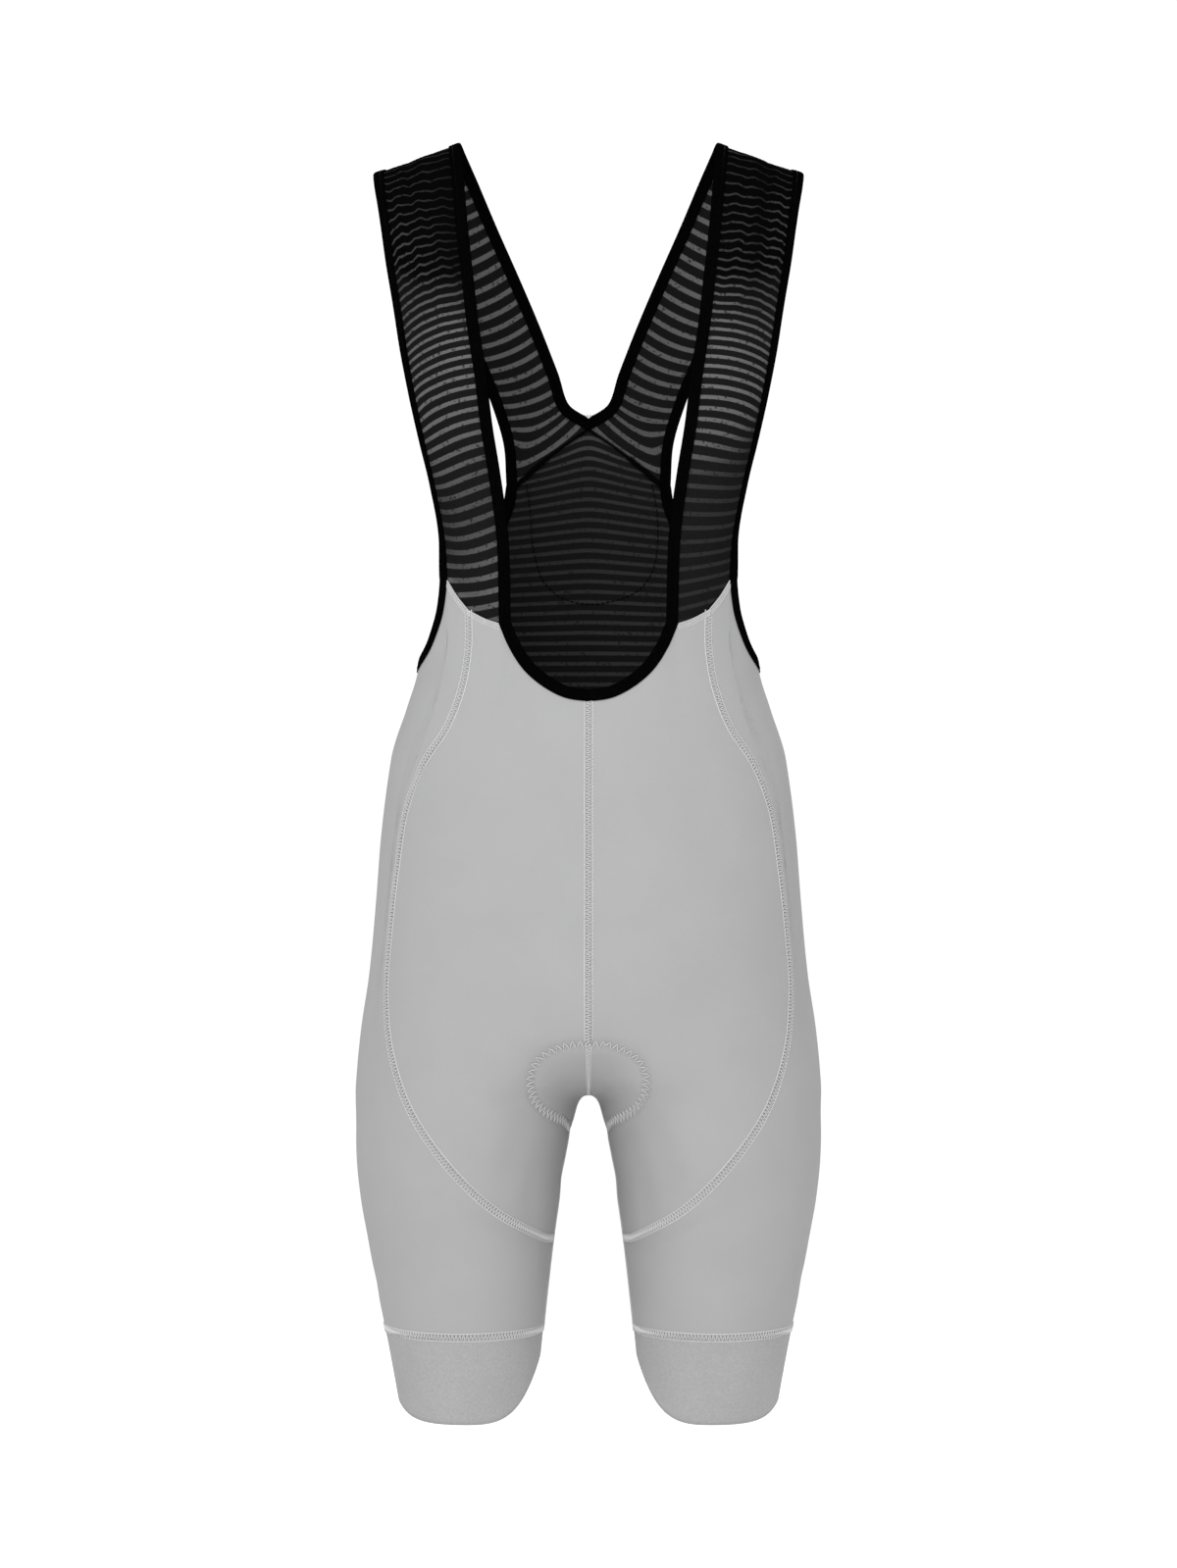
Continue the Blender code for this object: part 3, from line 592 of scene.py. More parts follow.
def profile_points(degrees):
    """Points of the form in the centre plane at angles round the profile pivot."""
    turn = np.radians(degrees)
    pivot = np.array([0.0, crotch_point()[1], PROFILE_PIVOT_Z])
    way = np.stack([np.zeros_like(turn), -np.cos(turn), -np.sin(turn)], axis=-1)
    return form_between(pivot + REACH * way, np.broadcast_to(pivot, way.shape))


def centre_seam(top, side):
    """The seam in the centre plane from the height top to the crotch, front or back."""
    heights = np.linspace(top, PROFILE_PIVOT_Z, 160)
    upper = form_face(np.zeros_like(heights), heights, side)
    first = 0.0 if side < 0 else 180.0
    lower = profile_points(np.linspace(first, 90.0, 240))
    return joined(upper, lower[1:], crotch_point()[None])[:-1]


def inseam(low):
    """The inner side of the thigh from the crotch down to the height low."""
    start = crotch_point()
    heights = start[2] + (low - start[2]) * np.linspace(0, 1, 240)[1:] ** 2
    form = form_at(heights)
    middle = (form["front"] + form["back"]) / 2
    centre = (form["outer"] + form["inner"]) / 2
    outside = np.stack([np.zeros_like(heights), middle, heights], axis=-1)
    inside = np.stack([centre, middle, heights], axis=-1)
    return np.concatenate([start[None], form_between(outside, inside)])


def coons(top, bottom, left, right):
    """A grid that fills four edges; top and bottom run across, left and right run down."""
    across = np.linspace(0, 1, len(top))[None, :, None]
    down = np.linspace(0, 1, len(left))[:, None, None]
    between_rows = (1 - down) * top[None] + down * bottom[None]
    between_columns = (1 - across) * left[:, None] + across * right[:, None]
    corners = (
        (1 - down) * ((1 - across) * top[0] + across * top[-1])
        + down * ((1 - across) * bottom[0] + across * bottom[-1])
    )
    return between_rows + between_columns - corners


def grid_normals(grid):
    return unit(np.cross(np.gradient(grid, axis=0), np.gradient(grid, axis=1)))


def edge_shift(ring, normals):
    """A unit offset at each point, square to the ring's segments, mitred at corners."""
    following = np.roll(ring, -1, axis=0) - ring
    facing = unit(normals + np.roll(normals, -1, axis=0))
    sideways = unit(np.cross(facing, following))
    before = np.roll(sideways, 1, axis=0)
    bend = np.maximum(1 + (before * sideways).sum(axis=1, keepdims=True), 0.25)
    return (before + sideways) / bend


def chart_of(grid):
    """Distances in metres across each row from its first point, and down each column."""
    across = np.linalg.norm(np.diff(grid, axis=1), axis=2)
    down = np.linalg.norm(np.diff(grid, axis=0), axis=2)
    first_column = np.zeros((grid.shape[0], 1))
    first_row = np.zeros((1, grid.shape[1]))
    u = np.concatenate([first_column, np.cumsum(across, axis=1)], axis=1)
    v = np.concatenate([first_row, np.cumsum(down, axis=0)], axis=0)
    return np.stack([u, v], axis=-1)


# ---------------------------------------------------------------- the pattern

@functools.lru_cache(maxsize=None)
def seams():
    """Every seam and cloth edge of the left half, cut into the cells of its panels."""
    whole_inseam = inseam(CUFF_SEAM_Z)
    split = int(np.argmin(np.abs(whole_inseam[:, 2] - LEG_SEAM_MEETING_Z)))
    meeting = whole_inseam[split]
    armhole_turn = onto_form(np.array([ARMHOLE_BOTTOM]) * MM)
    armhole = smooth_curve(np.concatenate([
        divided(drawn_seam(ARMHOLE_FRONT, -1), 4),
        armhole_turn,
        divided(drawn_seam(ARMHOLE_BACK, 1), 2),
    ]))
    v_seam = drawn_seam(V_SEAM, 1)
    return {
        "scoop": divided(drawn_seam(SCOOP_EDGE, -1), CELLS_SCOOP),
        "bib_front": divided(drawn_seam(BIB_SEAM_FRONT, -1), CELLS_BIB_FRONT),
        "bib_side": divided(drawn_seam(BIB_SEAM_SIDE, -1), CELLS_BIB_SIDE),
        "front_seam": divided(drawn_seam(FRONT_SEAM, -1, meeting), CELLS_SEAM),
        "back_seam": divided(drawn_seam(BACK_SEAM, 1, meeting), CELLS_SEAM),
        "armhole": divided(onto_form(armhole), CELLS_ARMHOLE),
        "centre_front": divided(centre_seam(SCOOP_BOTTOM_Z, -1), CELLS_SEAM),
        "centre_back": divided(centre_seam(WAIST_SEAM_Z, 1), CELLS_SEAM),
        "inseam_upper": divided(whole_inseam[:split + 1], CELLS_PANEL_ACROSS, ARCH_CROWDING),
        "inseam_lower": divided(whole_inseam[split:], CELLS_INSEAM),
        "waist_seam": divided(drawn_seam(WAIST_SEAM, 1), CELLS_PANEL_ACROSS),
        "mesh_side": divided(drawn_seam(MESH_SIDE_EDGE, 1), CELLS_MESH_ALONG),
        "v_seam": divided(v_seam, CELLS_STRAP_ACROSS),
        "v_seam_mesh": divided(v_seam, CELLS_PANEL_ACROSS),
    }


def form_panel(top, bottom, left, right):
    grid = coons(top, bottom, left, right)
    grid[1:-1, 1:-1] = onto_form(grid[1:-1, 1:-1])
    return grid


@functools.lru_cache(maxsize=None)
def front_grid():
    s = seams()
    return form_panel(
        joined(s["scoop"], s["bib_front"]), s["inseam_upper"], s["centre_front"], s["front_seam"])


@functools.lru_cache(maxsize=None)
def seat_grid():
    s = seams()
    return form_panel(
        s["waist_seam"][::-1], s["inseam_upper"][::-1], s["back_seam"], s["centre_back"])


@functools.lru_cache(maxsize=None)
def side_grid():
    """The panel round the side of the hip and all round the lower thigh."""
    s = seams()
    top = joined(s["bib_side"], s["armhole"])
    left = joined(s["front_seam"], s["inseam_lower"])
    right = joined(s["back_seam"], s["inseam_lower"])
    left_angle = angle_round(left, -np.pi / 2)
    right_angle = angle_round(right, np.pi / 2)
    top_angle = angle_round(top, -np.pi / 2)
    bottom_angle = np.linspace(left_angle[-1], right_angle[-1], CELLS_SIDE_ACROSS + 1)
    layout = coons(
        np.stack([top_angle, top[:, 2]], axis=-1),
        np.stack([bottom_angle, np.full_like(bottom_angle, CUFF_SEAM_Z)], axis=-1),
        np.stack([left_angle, left[:, 2]], axis=-1),
        np.stack([right_angle, right[:, 2]], axis=-1),
    )
    first = CELLS_SEAM - ROWS_EVENED
    middle = layout[:, CELLS_SIDE_ACROSS // 2, 1]
    even = np.linspace(middle[first], CUFF_SEAM_Z, len(middle) - first)
    share = np.linspace(0, 1, CELLS_SIDE_ACROSS + 1)
    sag = np.minimum(even - middle[first:], 0)
    layout[first:, :, 1] += sag[:, None] * 4 * share * (1 - share)
    grid = form_round(layout[..., 0], layout[..., 1])
    grid[0] = top
    grid[:, 0] = left
    grid[:, -1] = right
    return grid


@functools.lru_cache(maxsize=None)
def cuff_grid():
    """A leg cuff from its seam down to the curved hem, its first column repeated last."""
    start = angle_round(inseam(CUFF_SEAM_Z)[-1:], -np.pi / 2)[0]
    angle = start + np.linspace(0, 2 * np.pi, CELLS_SIDE_ACROSS + 1)
    inner = np.maximum(np.cos(angle), 0) ** 3.2
    outer = np.maximum(-np.cos(angle), 0) ** 4.5
    hem = HEM_Z + HEM_RISE_INNER * inner + HEM_RISE_OUTER * outer
    share = np.linspace(0, 1, CELLS_CUFF + 1)[:, None]
    heights = (1 - share) * CUFF_SEAM_Z + share * hem
    return form_round(np.broadcast_to(angle, heights.shape), heights)


@functools.lru_cache(maxsize=None)
def strap_grid():
    """One strap: its rails run between the bib seam and the V seam, its rows are bowed."""
    s = seams()
    edges = np.array(STRAP_SECTIONS, float) * MM
    inner, outer = edges[:, 0], edges[:, 1]
    inward = unit(outer - inner) * sizes().binding_width
    bib = joined(s["bib_front"], s["bib_side"])
    inner_rail = np.concatenate([bib[:1], inner + inward, s["v_seam"][:1]])
    outer_rail = np.concatenate([bib[-1:], outer - inward, s["v_seam"][-1:]])
    left = divided(smooth_curve(inner_rail), CELLS_STRAP_ALONG)
    right = divided(smooth_curve(outer_rail), CELLS_STRAP_ALONG)
    grid = coons(bib, s["v_seam"], left, right)
    along = np.sin(np.pi * np.linspace(0, 1, len(left)))[:, None, None] ** 0.5
    across = np.sin(np.pi * np.linspace(0, 1, len(bib)))[None, :, None]
    crown = 5 * MM
    return grid - grid_normals(grid) * crown * along * across


@functools.lru_cache(maxsize=None)
def back_mesh_grid():
    s = seams()
    top, bottom = s["v_seam_mesh"], s["waist_seam"]
    heights = np.linspace(top[0, 2], bottom[0, 2], CELLS_MESH_ALONG + 1)
    centre = form_face(np.zeros_like(heights), heights, 1)
    half = form_panel(top, bottom, centre, s["mesh_side"])[:, ::-1]
    return np.concatenate([half, mirrored(half[:, -2::-1])], axis=1)


# ---------------------------------------------------------------- folds

@functools.lru_cache(maxsize=None)
def fold_paths():
    ends = np.array([(start, end) for start, end, _, _ in FOLDS], float) * MM
    share = np.linspace(0, 1, FOLD_POINTS)[None, :, None]
    return onto_form(ends[:, :1] * (1 - share) + ends[:, 1:] * share)


def fold_height(points):
    """How far the folds lift or sink the knit at each point."""
    flat = points.reshape(-1, 3)
    height = np.zeros(len(flat))
    taper = np.sin(np.pi * np.linspace(0, 1, FOLD_POINTS)) ** 0.8
    for path, (_, _, width, depth) in zip(fold_paths(), FOLDS):
        near = np.nonzero(np.linalg.norm(flat - path.mean(axis=0), axis=1) < FOLD_REACH)[0]
        if len(near) == 0:
            continue
        gap = np.linalg.norm(flat[near, None] - path[None], axis=2)
        strength = taper * np.exp(-(gap / (width * MM)) ** 2)
        height[near] += depth * MM * strength.max(axis=1)
    ring = pad_ring()
    near = np.nonzero(np.linalg.norm(flat - ring.mean(axis=0), axis=1) < PAD_RING_REACH)[0]
    if len(near):
        gap = np.linalg.norm(flat[near, None] - ring[None], axis=2).min(axis=1)
        height[near] -= PAD_TUCK * np.exp(-(gap / PAD_TUCK_REACH) ** 2)
    return height.reshape(points.shape[:-1])


def on_cloth(points, lift=0.0):
    """Points laid on the worn knit, lifted off its middle by a distance."""
    placed = onto_form(points, 4)
    return placed + form_normals(placed) * (fold_height(placed)[..., None] + lift)


# ---------------------------------------------------------------- making meshes

def new_object(name, mesh, material):
    mesh.materials.append(material)
    mesh.shade_smooth()
    piece = bpy.data.objects.new(name, mesh)
    bpy.context.scene.collection.objects.link(piece)
    return piece


def cloth_mesh(name, grid, outward, chart, marks=None, weld=False):
    """A grid of cells moved to its places, with its chart, its marks and faces outward."""
    rows, columns = grid.shape[:2]
    shape = bmesh.new()
    bmesh.ops.create_grid(shape, x_segments=columns - 1, y_segments=rows - 1, size=1.0)
    mesh = bpy.data.meshes.new(name)
    shape.to_mesh(mesh)
    mesh.vertices.foreach_set("co", grid.reshape(-1))
    corners = np.zeros(len(mesh.loops), np.int32)
    mesh.loops.foreach_get("vertex_index", corners)
    layer = mesh.uv_layers.new(name="chart")
    layer.data.foreach_set("uv", chart.reshape(-1, 2)[corners].reshape(-1))
    for title, values in (marks or {}).items():
        mark = mesh.attributes.new(title, "FLOAT", "POINT")
        mark.data.foreach_set("value", np.ascontiguousarray(values, np.float32).reshape(-1))
    mesh.update()
    faces = np.zeros(len(mesh.polygons) * 3, np.float32)
    mesh.polygons.foreach_get("normal", faces)
    wanted = outward[:-1, :-1].reshape(-1, 3)
    if (faces.reshape(-1, 3) * wanted).sum() < 0:
        mesh.flip_normals()
    if weld:
        shape.clear()
        shape.from_mesh(mesh)
        bmesh.ops.remove_doubles(shape, verts=shape.verts, dist=1e-6)
        shape.to_mesh(mesh)
    shape.free()
    return mesh


def add_wall(piece, thickness):
    wall = piece.modifiers.new("wall", "SOLIDIFY")
    wall.thickness = thickness
    wall.offset = 0.0
    wall.use_even_offset = False


def add_threads(name, paths, radius, material, closed=False):
    """Round threads along lines of points, as one mesh."""
    curve = bpy.data.curves.new(name, "CURVE")
    curve.dimensions = "3D"
    curve.bevel_depth = radius
    curve.bevel_resolution = 0
    curve.use_fill_caps = True
    for path in paths:
        line = curve.splines.new("POLY")
        line.points.add(len(path) - 1)
        places = np.concatenate([path, np.ones((len(path), 1))], axis=1)
        line.points.foreach_set("co", places.reshape(-1))
        line.use_cyclic_u = closed
    line_object = bpy.data.objects.new(name, curve)
    mesh = bpy.data.meshes.new_from_object(line_object)
    bpy.data.objects.remove(line_object)
    bpy.data.curves.remove(curve)
    mesh.name = name
    mesh.materials.clear()
    return new_object(name, mesh, material)


def both_sides(build):
    """Calls build for the wearer's left (+X) and right with the mirroring to use."""
    build("left", lambda p: p)
    build("right", mirrored)


def settle(piece, slot, *nodes):
    """Hands a finished piece to the frame."""
    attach(piece, "root")
    if nodes:
        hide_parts(*nodes)


# ---------------------------------------------------------------- materials

# Yarn of the mesh where it is gathered tight, painted darker: painted shade in the gathers
SHADED_GATHER_PALE = (0.0006, 0.0006, 0.0006)
SHADED_GATHER_DEEP = (0.0004, 0.0004, 0.0004)

# Distances in metres from one loop, rib, row or hole to the next
WALE, COURSE, MESH_WALE = 0.0008, 0.0007, 0.0009
TAPE_RIB, TAPE_ROW = 0.0011, 0.0016
PAD_HOLES_APART = 0.006


class Wire:
    """A shader socket that adds, multiplies and compares as a number does."""

    def __init__(self, recipe, socket):
        self.recipe = recipe
        self.socket = socket

    def __add__(self, other):
        return self.recipe.maths("ADD", self, other)

    def __sub__(self, other):
        return self.recipe.maths("SUBTRACT", self, other)

    def __rsub__(self, other):
        return self.recipe.maths("SUBTRACT", other, self)

    def __mul__(self, other):
        return self.recipe.maths("MULTIPLY", self, other)

    def __truediv__(self, other):
        return self.recipe.maths("DIVIDE", self, other)

    def __pow__(self, other):
        return self.recipe.maths("POWER", self, other)

    def __abs__(self):
        return self.recipe.maths("ABSOLUTE", self)

    __radd__ = __add__
    __rmul__ = __mul__

    def part(self):
        return self.recipe.maths("FRACT", self)

    def wave(self):
        return self.recipe.maths("SINE", self * (2 * np.pi))

    def clamped(self):
        return self.recipe.maths("ADD", self, 0.0, use_clamp=True)

    def ramp(self, low, high):
        """0 at low and 1 at high, smooth between."""
        return self.recipe.node(
            "ShaderNodeMapRange", {"interpolation_type": "SMOOTHSTEP"},
            {"Value": self, "From Min": low, "From Max": high})


class Recipe:
    """One material and the nodes that make its finish."""

    def __init__(self, name):
        self.material = bpy.data.materials.new(name)
        self.material.use_nodes = True
        self.tree = self.material.node_tree
        self.shader = self.tree.nodes["Principled BSDF"]

    def plug(self, socket, value):
        if isinstance(value, Wire):
            self.tree.links.new(value.socket, socket)
        elif hasattr(socket.default_value, "__len__"):
            filled = list(value) + [1.0] * (len(socket.default_value) - len(value))
            socket.default_value = filled
        else:
            socket.default_value = value

    def node(self, kind, settings=None, values=None, outlet=0):
        made = self.tree.nodes.new(kind)
        for name, value in (settings or {}).items():
            setattr(made, name, value)
        for name, value in (values or {}).items():
            self.plug(made.inputs[name], value)
        return Wire(self, made.outputs[outlet])

    def maths(self, operation, first, second=None, use_clamp=False):
        values = {0: first} if second is None else {0: first, 1: second}
        return self.node(
            "ShaderNodeMath", {"operation": operation, "use_clamp": use_clamp}, values)

    def mixed(self, share, first, second):
        """A colour between two colours."""
        return self.node(
            "ShaderNodeMix", {"data_type": "RGBA"}, {0: share, 6: first, 7: second}, outlet=2)

    def chart(self):
        """The two coordinates of the piece's own chart."""
        place = self.node("ShaderNodeUVMap", {"uv_map": "chart"})
        apart = self.tree.nodes.new("ShaderNodeSeparateXYZ")
        self.plug(apart.inputs[0], place)
        return Wire(self, apart.outputs[0]), Wire(self, apart.outputs[1])

    def noise(self, scale, detail=2.0):
        place = self.node("ShaderNodeTexCoord", outlet=3)
        return self.node(
            "ShaderNodeTexNoise", None, {"Vector": place, "Scale": scale, "Detail": detail})

    def mark(self, title):
        """A number carried by the piece's points."""
        return self.node(
            "ShaderNodeAttribute", {"attribute_type": "GEOMETRY", "attribute_name": title},
            outlet=2)

    def feed(self, **values):
        """Wires or uniform values, given to the shader's own sockets."""
        for name, value in values.items():
            self.plug(self.shader.inputs[name.replace("_", " ")], value)

    def bump(self, height, distance, strength=1.0):
        normal = self.node(
            "ShaderNodeBump", None,
            {"Height": height, "Distance": distance, "Strength": strength})
        self.feed(Normal=normal)


def tinted(colour, factor):
    return tuple(min(part * factor, 1.0) for part in colour)


def cloth_shader(recipe, roughness, sheen, gloss=0.25):
    recipe.feed(
        Metallic=0.0, Roughness=roughness, Sheen_Weight=sheen, Sheen_Roughness=0.5,
        Specular_IOR_Level=gloss)


@functools.lru_cache(maxsize=None)
def knit_material(name, grainy=False):
    """Matt knit: wales and courses of small loops, a soft melange and faint wide clouds."""
    recipe = Recipe(name)
    base = tuple(colours().cuff if grainy else colours().knit)
    cloth_shader(recipe, 0.85, 0.03, 0.05)
    across, along = recipe.chart()
    wale = (across / WALE).part() - 0.5
    course = (along / COURSE + abs(wale) * 0.8).part() - 0.5
    loops = (1 - 4 * wale * wale) * (1 - 4 * course * course)
    melange = recipe.noise(620.0 if grainy else 1900.0, 2.0)
    clouds = recipe.noise(26.0)
    depth = 0.065 if grainy else 0.045
    shade = ((melange - 0.5) * (2.6 if grainy else 1.4) + (clouds - 0.5) * 0.9 + 0.5).clamped()
    recipe.feed(
        Base_Color=recipe.mixed(shade, tinted(base, 1 - depth), tinted(base, 1 + depth)),
        Roughness=0.80 + melange * 0.10)
    grain = loops * 0.6 + melange * (1.0 if grainy else 0.5)
    recipe.bump(grain, 0.00022 if grainy else 0.00012, 0.7)
    return recipe.material


@functools.lru_cache(maxsize=None)
def thread_material(name, dark=False):
    recipe = Recipe(name)
    base = tuple(colours().binding if dark else colours().thread)
    cloth_shader(recipe, 0.7, 0.0 if dark else 0.05, 0.02 if dark else 0.15)
    fibre = recipe.noise(2600.0, 1.0)
    recipe.feed(
        Base_Color=recipe.mixed(fibre, tinted(base, 0.85), tinted(base, 1.12)),
        Roughness=0.62 + fibre * 0.2)
    recipe.bump(fibre, 0.0001, 0.6)
    return recipe.material


@functools.lru_cache(maxsize=None)
def mesh_material():
    """Black bands of close knit between sheer stripes, counted by the chart's second axis."""
    recipe = Recipe("striped_mesh")
    cloth_shader(recipe, 0.8, 0.0, 0.0)
    across, count = recipe.chart()
    painted_light = recipe.mark("painted_light")
    sheer_share = recipe.mark("sheer")
    fleck = recipe.noise(420.0, 2.0)
    ragged = (recipe.noise(900.0, 1.0) - 0.5) * 0.05
    band = abs(count.part() - 0.5) + ragged
    stripe = 1 - band.ramp(sheer_share * 0.5 - 0.035, sheer_share * 0.5 + 0.035)
    ladder = (across / MESH_WALE).wave() * 0.5 + 0.5
    runs = 1 - fleck.ramp(0.60, 0.64) * 0.75
    open_part = stripe * runs
    # Painted light: the sheer stripes are painted paler and a little see-through where the mark
    # is high
    pale = open_part * (painted_light * 0.95 + 0.05) * (0.84 + ladder * 0.16)
    # Painted shade: the yarn is painted darker where the strap is gathered
    painted_shading = 1 - recipe.mark("dark") * 0.85
    light_yarn = recipe.mixed(painted_shading, SHADED_GATHER_PALE, tinted(colours().mesh_band, 1.25))
    dark_yarn = recipe.mixed(painted_shading, SHADED_GATHER_DEEP, tinted(colours().mesh_band, 0.8))
    yarn = recipe.mixed(fleck, dark_yarn, light_yarn)
    recipe.feed(
        Base_Color=recipe.mixed(pale, yarn, tuple(colours().mesh_sheer)),
        Alpha=1 - open_part * painted_light * 0.10,
        Roughness=0.78 + ladder * 0.08)
    recipe.bump(ladder * (1 - stripe * 0.6) - stripe * 0.8, 0.00015, 0.6)
    return recipe.material


@functools.lru_cache(maxsize=None)
def binding_material():
    """Matt elastic tape with fine ribs across its width."""
    recipe = Recipe("black_binding")
    base = tuple(colours().binding)
    recipe.feed(Metallic=0.0, Roughness=0.8, Sheen_Weight=0.0, Specular_IOR_Level=0.0)
    across, along = recipe.chart()
    ribs = (along / TAPE_RIB).wave() * 0.5 + 0.5
    rows = (across / TAPE_ROW).wave() * 0.5 + 0.5
    lint = recipe.noise(1400.0, 2.0)
    recipe.feed(
        Base_Color=recipe.mixed(lint.ramp(0.45, 0.75), tinted(base, 0.8), tinted(base, 2.6)),
        Roughness=0.75 + lint * 0.15)
    recipe.bump(ribs * 0.5 + rows * 0.3 + lint * 0.4, 0.0002, 0.7)
    return recipe.material


@functools.lru_cache(maxsize=None)
def pad_material():
    """Brushed cover of the pad with small perforations in rows."""
    recipe = Recipe("pad_foam")
    base = tuple(colours().pad)
    cloth_shader(recipe, 0.85, 0.2)
    across, along = recipe.chart()
    brushed = recipe.noise(700.0, 3.0)
    hole_u = abs((across / PAD_HOLES_APART).part() - 0.5)
    hole_v = abs((along / PAD_HOLES_APART).part() - 0.5)
    holes = 1 - ((hole_u * hole_u + hole_v * hole_v) ** 0.5).ramp(0.10, 0.16)
    # The perforations are painted darker: painted shade in the holes
    tone = (brushed * 1.2 - holes * 0.8).clamped()
    recipe.feed(
        Base_Color=recipe.mixed(tone, tinted(base, 0.6), tinted(base, 1.1)),
        Roughness=0.8 + brushed * 0.12)
    recipe.bump(brushed * 0.4 - holes, 0.0005, 0.7)
    return recipe.material


def stage_material(name, colour):
    recipe = Recipe(name)
    haze = recipe.noise(1.5)
    recipe.feed(Metallic=0.0, Roughness=0.9, Specular_IOR_Level=0.1)
    recipe.feed(Base_Color=recipe.mixed(haze, tinted(colour, 0.995), colour))
    return recipe.material


# ---------------------------------------------------------------- knit panels

def knit_piece(name, grid, material, weld=False):
    normals = form_normals(grid)
    placed = grid + normals * fold_height(grid)[..., None]
    mesh = cloth_mesh(name, placed, normals, chart_of(grid), weld=weld)
    piece = new_object(name, mesh, material)
    add_wall(piece, sizes().knit_wall)
    return piece


def knit_pair(kind, grid):
    """The left and right piece of one panel of the grey knit."""
    def build(side, turn):
        piece = knit_piece(f"{kind}_knit_{side}", turn(grid), knit_material("grey_knit"))
        settle(piece, "grey_knit", f"{kind}_panel_{side}")
    both_sides(build)
    return {"FINISHED"}


class BIB_OT_front_panels(bpy.types.Operator):
    """Lay the two front panels from the neck scoop to the inseam"""

    bl_idname = "bib.front_panels"
    bl_label = "Front panels"

    def execute(self, context):
        return knit_pair("front", front_grid())


class BIB_OT_side_panels(bpy.types.Operator):
    """Lay the two side panels round the hip and the lower thigh"""

    bl_idname = "bib.side_panels"
    bl_label = "Side panels"

    def execute(self, context):
        return knit_pair("side", side_grid())


class BIB_OT_seat_panels(bpy.types.Operator):
    """Lay the two seat panels from the mesh to the inseam"""

    bl_idname = "bib.seat_panels"
    bl_label = "Seat panels"

    def execute(self, context):
        return knit_pair("seat", seat_grid())


class BIB_OT_leg_cuffs(bpy.types.Operator):
    """Close a band of grainy knit round each leg down to its curved raw hem"""

    bl_idname = "bib.leg_cuffs"
    bl_label = "Leg cuffs"

    def execute(self, context):
        def build(side, turn):
            material = knit_material("cuff_knit", grainy=True)
            piece = knit_piece(f"cuff_knit_{side}", turn(cuff_grid()), material, weld=True)
            settle(piece, "cuff_knit", f"leg_cuff_{side}")
        both_sides(build)
        return {"FINISHED"}


# ---------------------------------------------------------------- striped mesh

# Stripes are counted from STRIPE_LEAD before the bib seam to STRIPE_TABLE_END
STRIPE_LEAD = 60 * MM
STRIPE_TABLE_END = 800 * MM
STRIPE_SAMPLES = 1600
# How far stripes wander where the strap is gathered, and the waves that make it up: share,
# waves across the strap, wavelength along it in metres, where the wave starts in radians
GATHER_RIPPLE = 1.0 * MM
GATHER_RIPPLES = ((1.0, 3.4, 0.16, 0.0), (0.5, 6.1, -0.09, 1.0))
PUCKER_HEIGHT = 0.55 * MM


def strap_pattern(side):
    """Stripe count, sheer share, painted light and shade and gathering on the strap's grid."""
    rows = STRIPES_LEFT if side == "left" else STRIPES_RIGHT
    grid = strap_grid()
    middle = (grid[:, 0] + grid[:, -1]) / 2
    along = lengths_along(middle)
    heading = unit(np.gradient(middle, along, axis=0))
    ahead = ((grid - middle[:, None]) * heading[:, None]).sum(axis=2)
    stripe = table_at(rows, STRIPE_COLUMNS, along, unscaled=("sheer", "painted_light", "lean", "gather"))
    across = np.linspace(-0.5, 0.5, grid.shape[1])[None, :]
    fine = np.linspace(0, STRIPE_TABLE_END, STRIPE_SAMPLES)
    spacing = table_at(rows, STRIPE_COLUMNS, fine)["spacing"]
    counted = np.concatenate([[0.0], np.cumsum(np.diff(fine) / spacing[:-1])])
    bow = 1 - 4 * across ** 2
    level = (
        along[:, None] + ahead
        + stripe["fall"][:, None] * across
        - stripe["rise"][:, None] * (bow - 2 / 3)
    )
    gather = stripe["gather"][:, None] * np.ones_like(across)
    ripple = 0.0
    for share, waves, wavelength, start in GATHER_RIPPLES:
        turns = across * waves + along[:, None] / wavelength
        ripple = ripple + share * np.sin(2 * np.pi * turns + start)
    level = level + GATHER_RIPPLE * gather * ripple
    count = np.interp(np.clip(level + STRIPE_LEAD, 0, STRIPE_TABLE_END), fine, counted)
    # Painted light leans across the strap, and painted shade dims the stripes where it is
    # gathered
    leaning = np.clip(1 + 2 * stripe["lean"][:, None] * across, 0.1, 1.6)
    if side == "right":
        shaded_across = np.clip(-4 * across - 0.7, 0, 1)
    else:
        shaded_across = np.exp(-((across - 0.02) / 0.14) ** 2)
    painted_shading = leaning * (1 - 0.85 * gather * shaded_across) * (1 - 0.3 * gather)
    return {
        "count": count,
        "sheer": stripe["sheer"][:, None] * np.ones_like(across),
        "painted_light": stripe["painted_light"][:, None] * painted_shading,
        "gather": gather,
        # How much painted shade darkens the yarn where the strap is gathered
        "dark": np.clip(gather * 1.5, 0, 1),
    }


def strap_ripples(pattern):
    """Small uneven puckers where the strap is gathered over the shoulder."""
    across = np.linspace(0, 1, pattern["count"].shape[1])[None, :]
    along = pattern["count"]
    waves = np.sin(2 * np.pi * along + 1.3 * np.sin(2 * np.pi * across * 2.3))
    fade = np.sin(np.pi * across) ** 0.7
    return PUCKER_HEIGHT * pattern["gather"] * waves * fade


